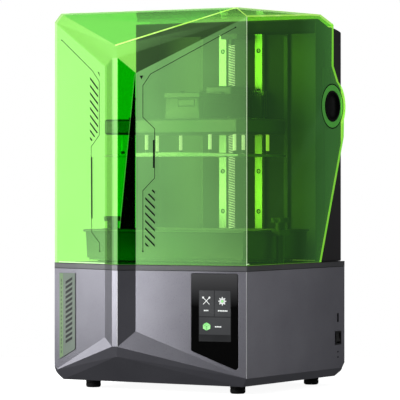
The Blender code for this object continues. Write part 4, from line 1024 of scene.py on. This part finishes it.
def sockets():
    """The right wall's switch, data socket and two small screws, and the back wall's inlet and fan."""
    for name, finish, edge in (("switch_frame", BLACK, 0.0003), ("power_rocker", BLACK, 0.0003),
                               ("usb_port", STEEL, 0.0002), ("power_inlet", BLACK, 0.0005),
                               ("fan_frame", BLACK, 0.0006)):
        refined(name, finish, edge)
    (low, high), middle, half_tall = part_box("usb_port"), centre_of("usb_port"), 0.0048
    bm = bmesh.new()
    block(bm, (low.x + 0.0035, middle.y - 0.0008, middle.z - half_tall),
          (high.x - 0.0012, middle.y + 0.0002, middle.z + half_tall))
    piece("usb_tongue", bm, "base", ACETAL, edge=0.0002)
    outward, screw_y = (1, 0, 0), FRONT + 0.2653
    screw_heads("side_screws", "base", [((HALF - 0.00008, screw_y, z), outward, 0.0013, 0.0006)
                                        for z in (0.0494, 0.0415)])
    (low, high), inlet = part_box("power_inlet"), centre_of("power_inlet")
    half_x, half_z = 0.0011, 0.0025
    bm = bmesh.new()
    for dx, dz in ((-0.007, -0.0018), (0, 0.0022), (0.007, -0.0018)):
        x, z = inlet.x + dx, inlet.z + dz
        block(bm, (x - half_x, low.y + 0.0041, z - half_z), (x + half_x, high.y - 0.004, z + half_z))
    piece("inlet_pins", bm, "base", SCREW_STEEL, edge=0.0003)
    fan, reach = centre_of("fan_frame"), 0.025
    heads = [((inlet.x + dx, high.y, inlet.z), INWARD, 0.0026, 0.0012) for dx in (-0.02, 0.02)]
    heads += [((fan.x + dx, BACK, fan.z + dz), INWARD, 0.0027, 0.0012)
              for dx in (-reach, reach) for dz in (-reach, reach)]
    screw_heads("back_screws", "base", heads)
    bm = bmesh.new()
    where, half_wire, thick = axis_frame((fan.x, BACK - 0.0023, fan.z), INWARD), 0.0008, 0.0016
    for radius in (0.007, 0.0125, 0.018, 0.0235):
        inner, outer = radius - half_wire, radius + half_wire
        lathe(bm, ((inner, 0), (inner, thick), (outer, thick), (outer, 0)), where)
    for turn in (45, 135):
        spoke = where @ Matrix.Rotation(math.radians(turn), 4, "Z")
        block(bm, (-0.0284, -0.0011, 0.0001), (0.0284, 0.0011, 0.0015), spoke)
    piece("fan_grille", bm, "base", BLACK_METAL)


def remaining_nodes():
    """The pieces inside, with broken edges, and the thin ones as they are with a finish."""
    inside = {BOARD: ("display_board", "mainboard", "led_board"),
              ALUMINIUM: ("power_supply", "led_heatsink", "shaft_coupling"),
              STEEL: ("light_reflector", "tilt_pin_left", "tilt_pin_right"),
              BLACK_METAL: ("screw_bearing_lower", "screw_bearing_upper", "z_motor", "tilt_motor",
                            "tilt_bracket_left", "tilt_bracket_right"),
              BLACK: ("fan_rotor",), ACETAL: ("tilt_cam",)}
    for finish, names in inside.items():
        for name in names:
            refined(name, finish, 0.0004)
    keep(GLASS_BLACK, "lcd_panel")
    keep(FILM, "release_film", "light_lens")


# ---- studio


def softbox(name, azimuth, height, distance, size, radiance, aim=(0, 0, 0.3)):
    """A rectangular light round the printer, that faces aim. Azimuth 0 is straight in front."""
    lamp = bpy.data.lights.new(name, "AREA")
    lamp.shape = "RECTANGLE"
    lamp.size, lamp.size_y = size
    lamp.energy = radiance * math.pi * size[0] * size[1]
    made = placed(name, lamp)
    angle = math.radians(azimuth)
    made.location = (distance * math.sin(angle), -distance * math.cos(angle), height)
    made.rotation_euler = (Vector(aim) - made.location).to_track_quat("-Z", "Y").to_euler()
    made.visible_camera = False
    return made


def studio():
    """Soft lights round the printer, two of them only for its reflections, and a white backdrop."""
    softbox("key", -35, 0.66, 1.2, (0.8, 1.24), 5.2, (0, 0, 0.6))
    softbox("left", -76, 0.6, 1.4, (0.6, 1.2), 1.5, (0, 0, 0.5))
    softbox("top", 0, 1.9, 0.02, (1.4, 1.4), 0.9)
    softbox("right_rear", 130, 0.45, 1.2, (0.55, 1.1), 0.42)
    rear = softbox("rear_mirrored", -148, 0.4, 1.6, (1.0, 1.0), 0.9)
    rear.visible_diffuse = False
    front = softbox("front_mirrored", -14, 0.11, 0.65, (0.16, 0.34), 0.9, (0.05, -0.15, 0.12))
    front.visible_diffuse = False
    world = bpy.data.worlds.new("studio")
    bpy.context.scene.world = world
    world.use_nodes = True
    tree = world.node_tree
    tree.nodes.clear()
    seen = node(tree, "LightPath", output="Is Camera Ray")
    backdrop = node(tree, "Background", {"Color": (1, 1, 1, 1), "Strength": 1.0})
    room = node(tree, "Background", {"Color": (0.95, 0.97, 1, 1), "Strength": 0.07})
    mixed = node(tree, "MixShader", {0: seen, 1: room, 2: backdrop})
    node(tree, "OutputWorld", {"Surface": mixed})


def floor():
    """A plain pale floor that fades into the backdrop, and is not mirrored in the printer."""
    made, tree = blank("floor_white")
    where = node(tree, "TexCoord", output="Object")
    distance = node(tree, "VectorMath", {0: where}, "Value", operation="LENGTH")
    fade = ranged(tree, distance, 0.35, 0.75)
    white = node(tree, "BsdfDiffuse", {"Color": (0.9, 0.9, 0.9, 1)})
    lift = node(tree, "Emission", {"Color": (1, 1, 1, 1), "Strength": 0.93})
    pale = node(tree, "AddShader", {0: white, 1: lift})
    clear = node(tree, "BsdfTransparent")
    mixed = node(tree, "MixShader", {0: fade, 1: pale, 2: clear})
    node(tree, "OutputMaterial", {"Surface": mixed})
    bm = bmesh.new()
    bmesh.ops.create_circle(bm, cap_ends=True, segments=64, radius=0.8)
    ground = placed("floor", mesh_of("floor", bm))
    ground.data.materials.append(made)
    ground.visible_glossy = False
    ground.visible_diffuse = False


def camera():
    """A long lens at bench height, to the right of the front."""
    data = bpy.data.cameras.new("camera")
    data.sensor_width = 36
    data.lens = 257.65
    data.shift_y = -0.0578
    made = placed("camera", data)
    made.location = (2.21509, -3.58689, 0.30895)
    made.rotation_euler = (math.radians(90), 0, math.radians(31.57))
    bpy.context.scene.camera = made


for make in (lid_cover, lid_lines, lid_foot, flank_painted_shade, lid_ears, hinges, tower, guide_column, rails,
             lead_screw, carriage, platform, vat, base, rim_seams, label, screen, sockets, remaining_nodes,
             studio, floor, camera):
    make()
bpy.context.scene.view_settings.view_transform = "Standard"
